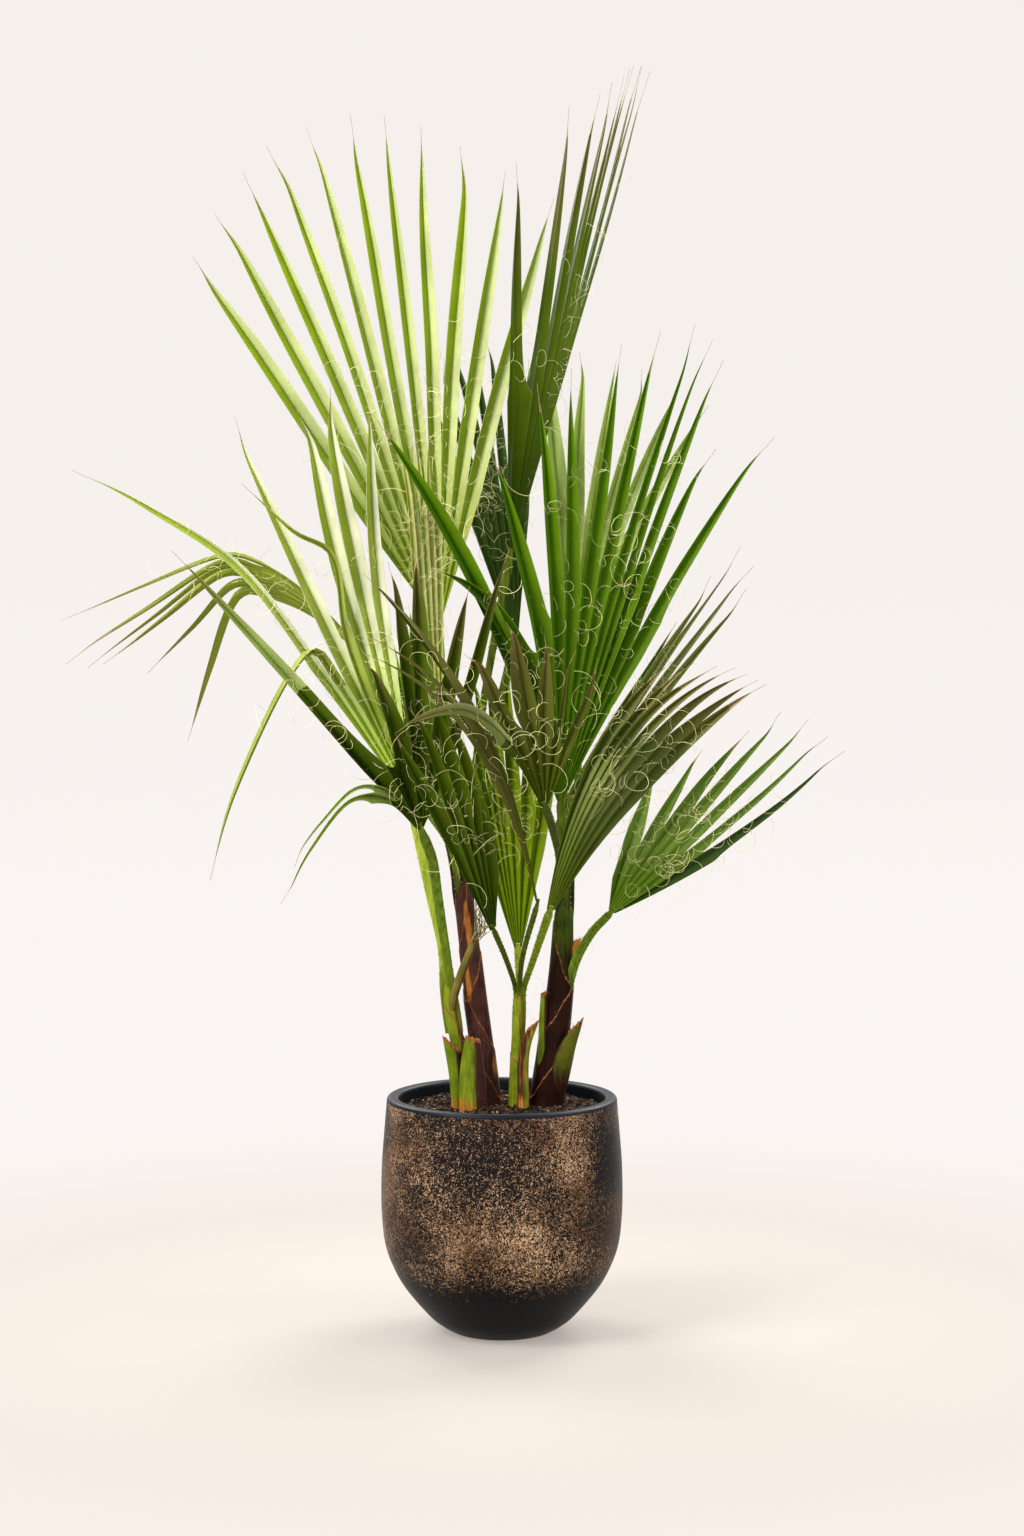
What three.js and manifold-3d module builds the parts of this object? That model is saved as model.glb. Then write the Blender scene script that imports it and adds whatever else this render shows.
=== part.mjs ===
// Potted fan palm: a ceramic pot of soil with four palm stems, their petioles and fan-shaped fronds.
// Millimetres, +Z up. The origin is the centre of the pot's flat underside, +Y points to the back.
import * as THREE from 'three';
import Module from 'manifold-3d';

const wasm = await Module();
wasm.setup();

// Driving dimensions
const GAP = 0.3;
const POT_HEIGHT = 295;
const POT_FOOT_RADIUS = 60;
const POT_WALL = 16;
const POT_FLOOR_RADIUS = 54;
const RIM_WIDTH = 19;
const RIM_ROUND = 8;
const SOIL_LEVEL = 273;
const ROUND_STEPS = 48;
const OUTLINE_STEPS = 16;
const RIM_STEPS = 4;
const LIMB_SIDES = 8;
const LIMB_STEPS = 6;
const BOOT_FLATNESS = 0.7;
const PETIOLE_FLATNESS = 0.6;
const PETIOLE_RISE = 0.6;
const PETIOLE_END = 14;
const STALK_RADII = [3.4, 5.5];
const HUB_WIDTH = 14;
const BLADE_THICKNESS = 5;
const TIP_THICKNESS = 2.6;
const TIP_HALF_WIDTH = 0.9;
const TAPER = 0.7;
const PLEAT = 0.3;
const JOINED_ROWS = 2;
const FREE_STEPS = 4;
const BENT_STEPS = 7;

// Outer radius of the pot at each height, from the foot to just under the rim
const POT_OUTLINE = [[76, 9], [92, 23], [115, 58], [132, 88], [141, 114], [148, 148], [150, 182],
  [149, 216], [146, 254]];
const POT_RIM_RADIUS = 143;

// A place is [across, up, depth]. Across and up are read on the upright plane through the pot's axis,
// seen from EYE, and depth slides the point along that line of sight, away from the viewer.
const EYE = new THREE.Vector3(12.5, -4200, 1017);

function at([across, up, depth = 0]) {
  const reach = (depth - EYE.y) / -EYE.y;
  return new THREE.Vector3(EYE.x + (across - EYE.x) * reach, depth, EYE.z + (up - EYE.z) * reach);
}

function foot([x, y]) {
  return new THREE.Vector3(x, y, SOIL_LEVEL + GAP);
}

// Stems: foot [x, y], places up to the top, and the radii at the foot and the top
const STEMS = {
  stem_left: {
    foot: [-48, 8], places: [[-53, 350, 8], [-62, 397, 6], [-67, 432, 4]], radii: [10, 7.5],
    colour: 0x6f9a2a,
  },
  stem_back: {
    foot: [-15, 28], places: [[-24, 350, 28], [-36, 446, 29], [-51, 570, 32]], radii: [16, 11],
    colour: 0x4a2a30,
  },
  stem_centre: {
    foot: [18, 8], places: [[20, 350, 8], [22, 425, 6]], radii: [10.5, 6.5], colour: 0x6fa51f,
  },
  stem_right: {
    foot: [54, 20], places: [[63, 350, 20], [73, 446, 20], [78, 552, 20]], radii: [23, 10],
    colour: 0x42202a,
  },
};

// Old leaf bases round the stems. One with a foot stands on the soil; the others are cut to clear a stem.
const BOOTS = {
  boot_left: {
    foot: [-64, -3], places: [[-66, 335, -5], [-71, 369, -6]], radii: [5.5, 1.6], colour: 0x6f8a2a,
  },
  boot_front: {
    foot: [-37, -14], places: [[-40, 335, -11], [-38, 371, -12]], radii: [13, 3], colour: 0x7a8a2a,
  },
  boot_centre: {
    foot: [33, -5], places: [[32, 340, -6], [38, 383, -10]], radii: [4.5, 1.6], colour: 0x8a6a2c,
  },
  boot_green: {
    on: 'stem_right', places: [[45, 312, 8], [45, 370, 8], [52, 426, 8]], radii: [9, 2],
    colour: 0x6b8f25,
  },
  boot_stub: {
    on: 'stem_right', places: [[76, 312, 8], [83, 350, 6], [93, 393, 4]], radii: [9, 2],
    colour: 0x5d3a22,
  },
  boot_husk: {
    on: 'stem_right', places: [[80, 462, 22], [87, 476, 18], [95, 494, 16]], radii: [7, 2],
    colour: 0xa8642c,
  },
  boot_dry: {
    on: 'stem_left', places: [[-61, 415, -3], [-51, 445, -12], [-33, 493, -18]], radii: [4, 2.5],
    colour: 0x8a8348,
  },
};

// Fronds: hub place, tip places from the left one to the right one, number of segments and the part of
// their length that is joined. Width is half the widest free segment. Knees, or a lift, shape the bow of
// the segments. Stem, turn and out say where the petiole leaves its stem's top, or start where it leaves
// the stem's side, via lists places along the petiole, and stalk gives its radii.
// Bends gives single segments their own way, by number, through listed places to the tip.
const FRONDS = {
  crown_left: {
    hub: [-78, 885, 60],
    tips: [[-381, 1324, 20], [-312, 1431, 90], [-234, 1487, 150], [-143, 1499, 190], [-46, 1461, 150],
      [58, 1400, 90]],
    count: 11, joined: 0.3, width: 13, lift: 10,
    stem: 'stem_back', turn: 0, out: 0, via: [[-66, 700, 44]], colour: 0x7fb02a,
  },
  crown_tall: {
    hub: [12, 973, 84],
    tips: [[21, 1442, -40], [84, 1508, 30], [136, 1536, 120], [158, 1558, 190], [178, 1554, 250]],
    count: 10, joined: 0.38, width: 10,
    stem: 'stem_back', turn: 10, out: 8, via: [[-26, 760, 62]], colour: 0x3f6b1c,
  },
  left: {
    hub: [-113, 669, 10],
    tips: [[-525, 1071, -60], [-430, 1100, -20], [-333, 1130, 20], [-290, 1147, 40], [-248, 1148, 20],
      [-210, 1170, 0], [-159, 1163, -20]],
    knees: [[-336, 1040, -40], [-240, 980, 30], [-174, 998, -10]],
    count: 7, joined: 0.35, width: 10,
    stem: 'stem_left', turn: 150, out: 4.5, via: [[-74, 480, 14], [-87, 541, 16], [-97, 589, 14]],
    colour: 0x9cc83a,
    bends: {
      1: [[-205, 815, -18], [-232, 848, -34], [-262, 818, -62], [-332, 671, -70], [-361, 563, -64]],
      3: [[-190, 860, 4], [-211, 968, -22], [-256, 994, -46], [-318, 1053, -60]],
    },
  },
  back_left: {
    hub: [-129, 787, 96],
    tips: [[-532, 881, 40], [-501, 821, 110], [-384, 732, 180]],
    knees: [[-312, 1084, 70], [-328, 1066, 110], [-378, 1058, 150]],
    count: 6, joined: 0.45, width: 9,
    stem: 'stem_back', turn: 175, out: 8, via: [[-84, 680, 62]], colour: 0x5f7d2c,
  },
  spear: {
    hub: [-76, 675, 0],
    tips: [[-125, 1115, 0], [-103, 1124, 15], [-81, 1105, 30]],
    count: 5, joined: 0.6, width: 5,
    stem: 'stem_back', turn: 235, out: 8, via: [[-62, 610, 18]], colour: 0xa6bf45,
  },
  front_left: {
    hub: [-100, 628, -65],
    tips: [[-269, 532, -150], [-259, 582, -135], [-403, 971, -190], [-163, 842, -150],
      [-135, 959, -130], [-108, 972, -125], [-39, 927, -120], [11, 970, -100]],
    count: 8, joined: 0.32, width: 8, lift: 4,
    stem: 'stem_left', turn: 330, out: 4.5, stalk: [4.5, 5.5],
    via: [[-72, 493, -8], [-79, 541, -26], [-86, 589, -44]], colour: 0x44701f,
    bends: {
      0: [[-140, 664, -92], [-186, 664, -118], [-236, 602, -140], [-269, 532, -150]],
      1: [[-141, 674, -90], [-180, 678, -108], [-226, 634, -126], [-259, 582, -135]],
    },
  },
  low_left: {
    hub: [-11, 504, -90],
    tips: [[-133, 745, -250], [-88, 799, -220], [-39, 713, -130]],
    count: 5, joined: 0.5, width: 12, lift: 10,
    stem: 'stem_centre', turn: 205, out: 5.5, stalk: [2.6, 3.6], via: [[6, 463, -38]],
    colour: 0x355a1d,
  },
  centre: {
    hub: [20, 479, -20],
    tips: [[-49, 743, 0], [-21, 848, 20], [72, 787, 20]],
    count: 7, joined: 0.55, width: 9,
    stem: 'stem_centre', turn: 90, out: 2, stalk: [2.8, 5], via: [[21, 452, -4]], colour: 0xa3cf2f,
  },
  front_small: {
    hub: [53, 657, -130],
    tips: [[-130, 746, -250], [-39, 848, -190], [14, 885, -170], [52, 865, -160], [90, 848, -150],
      [122, 835, -160]],
    count: 6, joined: 0.35, width: 10, lift: 6,
    stem: 'stem_right', turn: 225, out: 8, via: [[72, 585, -20], [62, 630, -84]], colour: 0x3a5220,
    bends: { 0: [[18, 725, -165], [-43, 773, -205], [-105, 762, -238], [-130, 746, -250]] },
  },
  front_long: {
    hub: [44, 535, -112],
    tips: [[-173, 945, -240], [-160, 860, -255], [-165, 842, -270]],
    knees: [[-6, 800, -110], [-10, 800, -120], [-14, 790, -130]],
    count: 3, joined: 0.3, width: 7,
    stem: 'stem_centre', turn: 265, out: 5.5, stalk: [2.6, 3.6], via: [[26, 470, -56]],
    colour: 0x43501f,
  },
  right_front: {
    hub: [60, 527, -104],
    tips: [[209, 835, -200], [287, 826, -250], [326, 805, -170]],
    knees: [[74, 750, -150], [120, 779, -190], [151, 740, -140]],
    count: 7, joined: 0.55, width: 9,
    stem: 'stem_centre', turn: 325, out: 5.5, stalk: [2.8, 5.5], via: [[38, 462, -30]],
    colour: 0x4a6b2a,
  },
  right_low: {
    hub: [136, 525, -60],
    tips: [[189, 700, -20], [349, 767, -150], [420, 726, -120]],
    knees: [[160, 610, -40], [243, 652, -130], [302, 615, -95]],
    count: 8, joined: 0.42, width: 12,
    stem: 'stem_right', start: [85, 428, 12], stalk: [7, 5], via: [[91, 462, 6], [111, 498, -24]],
    colour: 0x4f7d22,
  },
  right_mid: {
    hub: [67, 626, 40],
    tips: [[217, 881, 80], [297, 973, 100], [305, 919, 110]],
    count: 5, joined: 0.35, width: 7, lift: 8,
    stem: 'stem_right', turn: 150, out: 8, via: [[71, 590, 30]], colour: 0x5b8a2a,
  },
  crown_right: {
    hub: [72, 663, 0],
    tips: [[-159, 1136, -130], [-92, 948, -110], [-17, 1092, -100], [42, 1173, -80], [85, 1193, -60],
      [144, 1222, -40], [196, 1238, -20], [242, 1243, 0], [254, 1228, 20], [264, 1206, 40],
      [259, 1096, 50], [333, 1109, 60]],
    knees: [[8, 914, -70], [120, 980, -10], [190, 935, 24]],
    count: 12, joined: 0.45, width: 9,
    stem: 'stem_right', turn: 290, out: 8, via: [[76, 600, 10]], colour: 0x3f7a1c,
  },
  back_right: {
    hub: [90, 860, 96],
    tips: [[53, 1221, 190], [160, 1197, 280], [252, 1148, 220]],
    count: 6, joined: 0.4, width: 13, lift: 10,
    stem: 'stem_right', turn: 20, out: 7.5, via: [[88, 620, 62], [94, 700, 86]], colour: 0x86b545,
  },
  back_centre: {
    hub: [16, 860, 120],
    tips: [[-100, 1184, 240], [-39, 1239, 320], [34, 1203, 360]],
    count: 7, joined: 0.45, width: 12, lift: 8,
    stem: 'stem_back', turn: 65, out: 8, via: [[-22, 700, 74]], colour: 0x2f5a2c,
  },
  rear_left: {
    hub: [-95, 655, 140],
    tips: [[-178, 862, 400], [-142, 912, 430], [-98, 893, 420]],
    count: 6, joined: 0.4, width: 11, lift: 20,
    stem: 'stem_back', turn: 120, out: 8, via: [[-66, 610, 74]], colour: 0x4a7a24,
  },
  rear_right: {
    hub: [78, 675, 120],
    tips: [[53, 885, 400], [120, 910, 440], [184, 858, 400]],
    count: 7, joined: 0.4, width: 11, lift: 20,
    stem: 'stem_right', turn: 100, out: 8, via: [[72, 610, 66]], colour: 0x4a7a24,
  },
};

const DEPTH_AXIS = new THREE.Vector3(0, 1, 0);
const part = new THREE.Group();

function add(name, geometry, colour, roughness = 0.6) {
  const mesh = new THREE.Mesh(geometry,
    new THREE.MeshStandardMaterial({ color: colour, roughness, metalness: 0 }));
  mesh.name = name;
  part.add(mesh);
}

// Closed faceted bodies
function body(positions, triangles) {
  const geometry = new THREE.BufferGeometry();
  geometry.setAttribute('position',
    new THREE.Float32BufferAttribute(positions.flatMap((p) => [p.x, p.y, p.z]), 3));
  geometry.setIndex(triangles.flat());
  return geometry;
}

function turned(outline) {
  const points = outline.map(([radius, height]) => new THREE.Vector2(radius, height));
  return new THREE.LatheGeometry(points, ROUND_STEPS).rotateX(Math.PI / 2);
}

function solidOf(geometry) {
  return new wasm.Manifold(new wasm.Mesh({
    numProp: 3,
    vertProperties: new Float32Array(geometry.getAttribute('position').array),
    triVerts: new Uint32Array(geometry.getIndex().array),
  }));
}

function cutClear(geometry, obstacle) {
  const mesh = solidOf(geometry).subtract(solidOf(obstacle)).getMesh();
  const cut = new THREE.BufferGeometry();
  cut.setAttribute('position', new THREE.Float32BufferAttribute(mesh.vertProperties, 3));
  cut.setIndex([...mesh.triVerts]);
  return cut;
}

// A tapering limb along a curve. Its width lies across the line of sight, and flat is depth over width.
function limb(points, radii, flat = 1, standing = false) {
  const curve = new THREE.CatmullRomCurve3(points);
  const rings = [];
  for (let step = 0; step <= LIMB_STEPS; step += 1) {
    const along = step / LIMB_STEPS;
    const centre = curve.getPointAt(along);
    const way = curve.getTangentAt(along);
    const wide = new THREE.Vector3().crossVectors(way, DEPTH_AXIS).normalize();
    const thin = new THREE.Vector3().crossVectors(wide, way);
    const radius = THREE.MathUtils.lerp(radii[0], radii[1], along);
    for (let side = 0; side < LIMB_SIDES; side += 1) {
      const angle = (side / LIMB_SIDES) * Math.PI * 2;
      const point = centre.clone()
        .addScaledVector(wide, Math.cos(angle) * radius)
        .addScaledVector(thin, Math.sin(angle) * radius * flat);
      if (standing && step === 0) point.z = centre.z;
      rings.push(point);
    }
  }
  const triangles = [];
  const last = LIMB_STEPS * LIMB_SIDES;
  for (let side = 0; side < LIMB_SIDES; side += 1) {
    const next = (side + 1) % LIMB_SIDES;
    for (let row = 0; row < last; row += LIMB_SIDES) {
      triangles.push([row + side, row + LIMB_SIDES + next, row + next]);
      triangles.push([row + side, row + LIMB_SIDES + side, row + LIMB_SIDES + next]);
    }
    if (side > 0 && side < LIMB_SIDES - 1) {
      triangles.push([0, side, side + 1]);
      triangles.push([last, last + side + 1, last + side]);
    }
  }
  return body(rings, triangles);
}

function stemGeometry({ foot: base, places, radii }, extra = 0) {
  return limb([foot(base), ...places.map(at)], radii.map((radius) => radius + extra), 1, true);
}

// Where a frond's petiole starts: on its stem's top face, or against the stem's side for a low one
function petioleStart({ stem, turn, out, start }) {
  if (start) return at(start);
  const angle = THREE.MathUtils.degToRad(turn);
  const offset = new THREE.Vector3(Math.cos(angle) * out, Math.sin(angle) * out, PETIOLE_RISE);
  return at(STEMS[stem].places.at(-1)).add(offset);
}

// The way a petiole arrives at its hub, which squares both its end and the blade's base
function arrivalAt(spec) {
  return at(spec.hub).sub(at(spec.via.at(-1))).normalize();
}

// A petiole's places, with a straight end that stops just short of the blade
function petiolePlaces(spec) {
  const arrival = arrivalAt(spec);
  const ends = [PETIOLE_END, GAP].map((short) => at(spec.hub).addScaledVector(arrival, -short));
  return [petioleStart(spec), ...spec.via.map(at), ...ends];
}

// The midline of each segment, from the hub to its tip
function midlines(spec) {
  const hub = at(spec.hub);
  const tipCurve = new THREE.CatmullRomCurve3(spec.tips.map(at), false, 'catmullrom');
  const kneeCurve = spec.knees && new THREE.CatmullRomCurve3(spec.knees.map(at), false, 'catmullrom');
  const arrival = arrivalAt(spec);
  const across = tipCurve.getPoint(1).sub(tipCurve.getPoint(0)).projectOnPlane(arrival).normalize();
  const lines = [];
  for (let i = 0; i < spec.count; i += 1) {
    const s = i / (spec.count - 1);
    const start = hub.clone().addScaledVector(across, (s - 0.5) * HUB_WIDTH);
    const bend = spec.bends?.[i];
    if (bend) {
      lines.push({ curve: new THREE.CatmullRomCurve3([start, ...bend.map(at)]), steps: BENT_STEPS });
      continue;
    }
    const tip = tipCurve.getPoint(s);
    const knee = kneeCurve ? kneeCurve.getPoint(s) : start.clone().lerp(tip, 0.5);
    knee.z += 2 * (spec.lift ?? 0);
    lines.push({ curve: new THREE.QuadraticBezierCurve3(start, knee, tip), steps: FREE_STEPS });
  }
  return { lines, arrival, across };
}

// Frames along each midline: a point, the way along and the way across, carried without twist
function framesAlong({ curve, steps }, joined, arrival, across) {
  const stations = [];
  for (let row = 1; row <= JOINED_ROWS; row += 1) stations.push((joined * row) / JOINED_ROWS);
  for (let step = 1; step <= steps; step += 1) stations.push(joined + ((1 - joined) * step) / steps);
  const sideways = across.clone();
  const frames = stations.map((along) => {
    const way = curve.getTangentAt(along);
    sideways.projectOnPlane(way).normalize();
    return { along, point: curve.getPointAt(along), way, across: sideways.clone() };
  });
  return [{ along: 0, point: curve.getPointAt(0), way: arrival, across }, ...frames];
}

// One frond blade: pleated where its segments are joined, then split into tapering strips
function bladeGeometry(spec) {
  const { lines, arrival, across } = midlines(spec);
  const segments = lines.map((line) => framesAlong(line, spec.joined, arrival, across));
  const positions = [];
  const triangles = [];

  function pair(point, face, along) {
    const half = THREE.MathUtils.lerp(BLADE_THICKNESS, TIP_THICKNESS, along) / 2;
    positions.push(point.clone().addScaledVector(face, half));
    positions.push(point.clone().addScaledVector(face, -half));
    return positions.length - 2;
  }
  function faceOf(frame) {
    return new THREE.Vector3().crossVectors(frame.across, frame.way).normalize();
  }
  function sheet(a, b, c, d) {
    triangles.push([a, b, c], [a, c, d], [a + 1, c + 1, b + 1], [a + 1, d + 1, c + 1]);
  }
  function wall(from, to) {
    triangles.push([to, from, from + 1], [to, from + 1, to + 1]);
  }
  function halfWidth(i, row) {
    const here = segments[i][row].point;
    const beside = [segments[i - 1], segments[i + 1]].filter(Boolean);
    return Math.min(...beside.map((other) => other[row].point.distanceTo(here) / 2), spec.width);
  }

  // Columns at each joined row: an edge, then a midrib and an edge for each segment
  const rows = [];
  for (let row = 0; row <= JOINED_ROWS; row += 1) {
    const columns = [];
    for (let i = 0; i <= segments.length; i += 1) {
      const left = segments[i - 1]?.[row];
      const right = segments[i]?.[row];
      const near = [left, right].filter(Boolean);
      const width = halfWidth(Math.min(i, segments.length - 1), row);
      const face = new THREE.Vector3();
      const edge = new THREE.Vector3();
      for (const frame of near) {
        face.add(faceOf(frame));
        edge.addScaledVector(frame.point, 1 / near.length);
      }
      face.normalize();
      if (!left) edge.addScaledVector(right.across, -width);
      if (!right) edge.addScaledVector(left.across, width);
      columns.push(pair(edge.addScaledVector(face, PLEAT * width), face, near[0].along));
      if (right) {
        const rib = faceOf(right);
        columns.push(pair(right.point.clone().addScaledVector(rib, -PLEAT * width), rib, right.along));
      }
    }
    rows.push(columns);
  }
  const columnCount = rows[0].length;
  for (let column = 0; column + 1 < columnCount; column += 1) {
    for (let row = 0; row < JOINED_ROWS; row += 1) {
      sheet(rows[row][column], rows[row][column + 1], rows[row + 1][column + 1], rows[row + 1][column]);
    }
    wall(rows[0][column], rows[0][column + 1]);
  }
  for (let row = 0; row < JOINED_ROWS; row += 1) {
    wall(rows[row + 1][0], rows[row][0]);
    wall(rows[row][columnCount - 1], rows[row + 1][columnCount - 1]);
  }

  // Free strips, each from its three columns on the last joined row
  segments.forEach((frames, i) => {
    let below = rows[JOINED_ROWS].slice(2 * i, 2 * i + 3);
    const full = halfWidth(i, JOINED_ROWS);
    for (const frame of frames.slice(JOINED_ROWS + 1)) {
      const left = 1 - (frame.along - spec.joined) / (1 - spec.joined);
      const width = Math.max(full * left ** TAPER, TIP_HALF_WIDTH);
      const face = faceOf(frame);
      const strip = [-1, 0, 1].map((side) => {
        const point = frame.point.clone().addScaledVector(frame.across, side * width);
        return pair(point.addScaledVector(face, PLEAT * width * (side ? 1 : -1)), face, frame.along);
      });
      sheet(below[0], below[1], strip[1], strip[0]);
      sheet(below[1], below[2], strip[2], strip[1]);
      wall(strip[0], below[0]);
      wall(below[2], strip[2]);
      below = strip;
    }
    wall(below[1], below[0]);
    wall(below[2], below[1]);
  });
  return body(positions, triangles);
}

// Pot and soil
const potBody = new THREE.SplineCurve([
  new THREE.Vector2(POT_FOOT_RADIUS, 0),
  ...POT_OUTLINE.map(([radius, height]) => new THREE.Vector2(radius, height)),
  new THREE.Vector2(POT_RIM_RADIUS, POT_HEIGHT - RIM_ROUND),
]).getPoints(OUTLINE_STEPS).map((p) => [p.x, p.y]);

function rimArc(radius, from, to) {
  const arc = [];
  for (let step = 0; step <= RIM_STEPS; step += 1) {
    const angle = THREE.MathUtils.lerp(from, to, step / RIM_STEPS);
    arc.push([radius + Math.cos(angle) * RIM_ROUND, POT_HEIGHT - RIM_ROUND + Math.sin(angle) * RIM_ROUND]);
  }
  return arc;
}

// The wall's inner side follows the outer one between the floor and the rim
const innerWall = potBody
  .filter(([, height]) => height > POT_WALL + RIM_ROUND && height < POT_HEIGHT - RIM_WIDTH)
  .map(([radius, height]) => [radius - POT_WALL, height]);
const potOutline = [
  [0, 0],
  ...potBody.slice(0, -1),
  ...rimArc(POT_RIM_RADIUS - RIM_ROUND, 0, Math.PI / 2),
  ...rimArc(POT_RIM_RADIUS - RIM_WIDTH + RIM_ROUND, Math.PI / 2, Math.PI),
  ...innerWall.toReversed(),
  [POT_FLOOR_RADIUS, POT_WALL],
  [0, POT_WALL],
];
const soilOutline = [
  [0, POT_WALL + GAP],
  [POT_FLOOR_RADIUS - GAP, POT_WALL + GAP],
  ...innerWall.filter(([, height]) => height < SOIL_LEVEL).map(([r, height]) => [r - 2 * GAP, height]),
  [POT_RIM_RADIUS - RIM_WIDTH - 2 * GAP, SOIL_LEVEL],
  [0, SOIL_LEVEL],
];
add('pot', turned(potOutline), 0x2b2623, 0.75);
add('soil', turned(soilOutline), 0x2a211b, 0.95);

// Stems and old leaf bases
for (const [name, spec] of Object.entries(STEMS)) add(name, stemGeometry(spec), spec.colour, 0.5);

for (const [name, spec] of Object.entries(BOOTS)) {
  if (spec.foot) {
    const places = [foot(spec.foot), ...spec.places.map(at)];
    add(name, limb(places, spec.radii, BOOT_FLATNESS, true), spec.colour);
  } else {
    const leaf = limb(spec.places.map(at), spec.radii, BOOT_FLATNESS);
    add(name, cutClear(leaf, stemGeometry(STEMS[spec.on], GAP)), spec.colour);
  }
}

// Petioles and fronds
for (const [name, spec] of Object.entries(FRONDS)) {
  const petiole = limb(petiolePlaces(spec), spec.stalk ?? STALK_RADII, PETIOLE_FLATNESS);
  add(`petiole_${name}`, cutClear(petiole, stemGeometry(STEMS[spec.stem], GAP)), 0x7da132, 0.45);
  add(`frond_${name}`, bladeGeometry(spec), spec.colour, 0.5);
}

export default part;
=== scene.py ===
import math
from functools import partial

import bpy
import numpy as np
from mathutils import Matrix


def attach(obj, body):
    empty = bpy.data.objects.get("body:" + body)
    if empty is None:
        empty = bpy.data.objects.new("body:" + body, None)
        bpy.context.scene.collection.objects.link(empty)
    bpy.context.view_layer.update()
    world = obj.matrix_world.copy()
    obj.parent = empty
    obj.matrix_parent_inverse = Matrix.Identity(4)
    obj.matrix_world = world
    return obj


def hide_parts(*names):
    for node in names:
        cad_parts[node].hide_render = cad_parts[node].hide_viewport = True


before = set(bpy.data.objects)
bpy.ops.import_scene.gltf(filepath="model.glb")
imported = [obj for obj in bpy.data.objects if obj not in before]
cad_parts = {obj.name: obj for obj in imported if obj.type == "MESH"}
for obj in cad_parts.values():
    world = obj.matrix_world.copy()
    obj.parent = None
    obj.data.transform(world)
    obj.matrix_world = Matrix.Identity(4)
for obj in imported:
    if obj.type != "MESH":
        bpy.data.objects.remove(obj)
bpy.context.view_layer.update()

bl_info = {
    "name": "Potted fan palm",
    "version": (1, 0, 0),
    "blender": (4, 5, 0),
    "location": "3D View > Sidebar > Palm",
    "description": "Dresses the solids of a potted fan palm: pot, soil, stems, petioles, fronds and threads",
    "category": "Object",
}

MM = 0.001

# Sizes in millimetres, as in the part's source, but for three that follow the photograph more closely: the
# rim's width (19 there), the hub's (14 there), and the level at which the soil shows, 8 above the one from
# which the stems rise. Gap is what stands between neighbouring solids.
POT_HEIGHT = 295
POT_FOOT_RADIUS = 60
POT_WALL = 16
POT_FLOOR_RADIUS = 54
RIM_WIDTH = 15
RIM_ROUND = 5
POT_RIM_RADIUS = 143
SOIL_LEVEL = 273
SOIL_SHOWN = 281
HUB_WIDTH = 8
PETIOLE_RISE = 0.6
PETIOLE_FLATNESS = 0.6
BOOT_FLATNESS = 0.7
STALK_RADII = (3.4, 5.5)
GAP = 0.3

# How far in and how high the corners of the pot's foot are rounded, and the pot's outer radius at each
# height up to just under the rim. The belly is as full as it shows, up to 7 mm fuller low down than in the
# source.
POT_BEVEL = ((3, 0), (0.8, 0.3))
POT_OUTLINE = [(76, 9), (93, 23), (122, 58), (138, 88), (146, 114), (149.5, 148), (150, 182), (149, 216),
               (146, 254)]

# The viewpoint that places are read from: across and up on the plane through the pot's axis, then depth
EYE = (12.5, -4200, 1017)
EYE_PITCH = 4.28
LENS = 80.06

# Height in metres of the plant's middle, where the lamps point
MIDDLE = 0.8

# How strongly skins mirror their surroundings, under the usual 0.5: the studio is white all round and would
# wash the dark greens out with grey
SHEEN = 0.08

# Spots where the pot's flecks lie thicker or thinner, partly its own clouding and partly painted light:
# thicker as a painted highlight, thinner as painted shade, mostly at its sides. Place and reach in
# millimetres, and by how much
FLECK_CLOUDS_AND_PAINTED_LIGHT = (((87, -120, 250), 70, 0.2), ((65, -133, 150), 80, 0.18), ((-45, -141, 140), 70, 0.18),
         ((-95, -112, 225), 55, 0.08), ((-34, -143, 225), 75, -0.14), ((142, -50, 220), 90, -0.34),
         ((-145, -20, 270), 60, -0.3))
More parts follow.
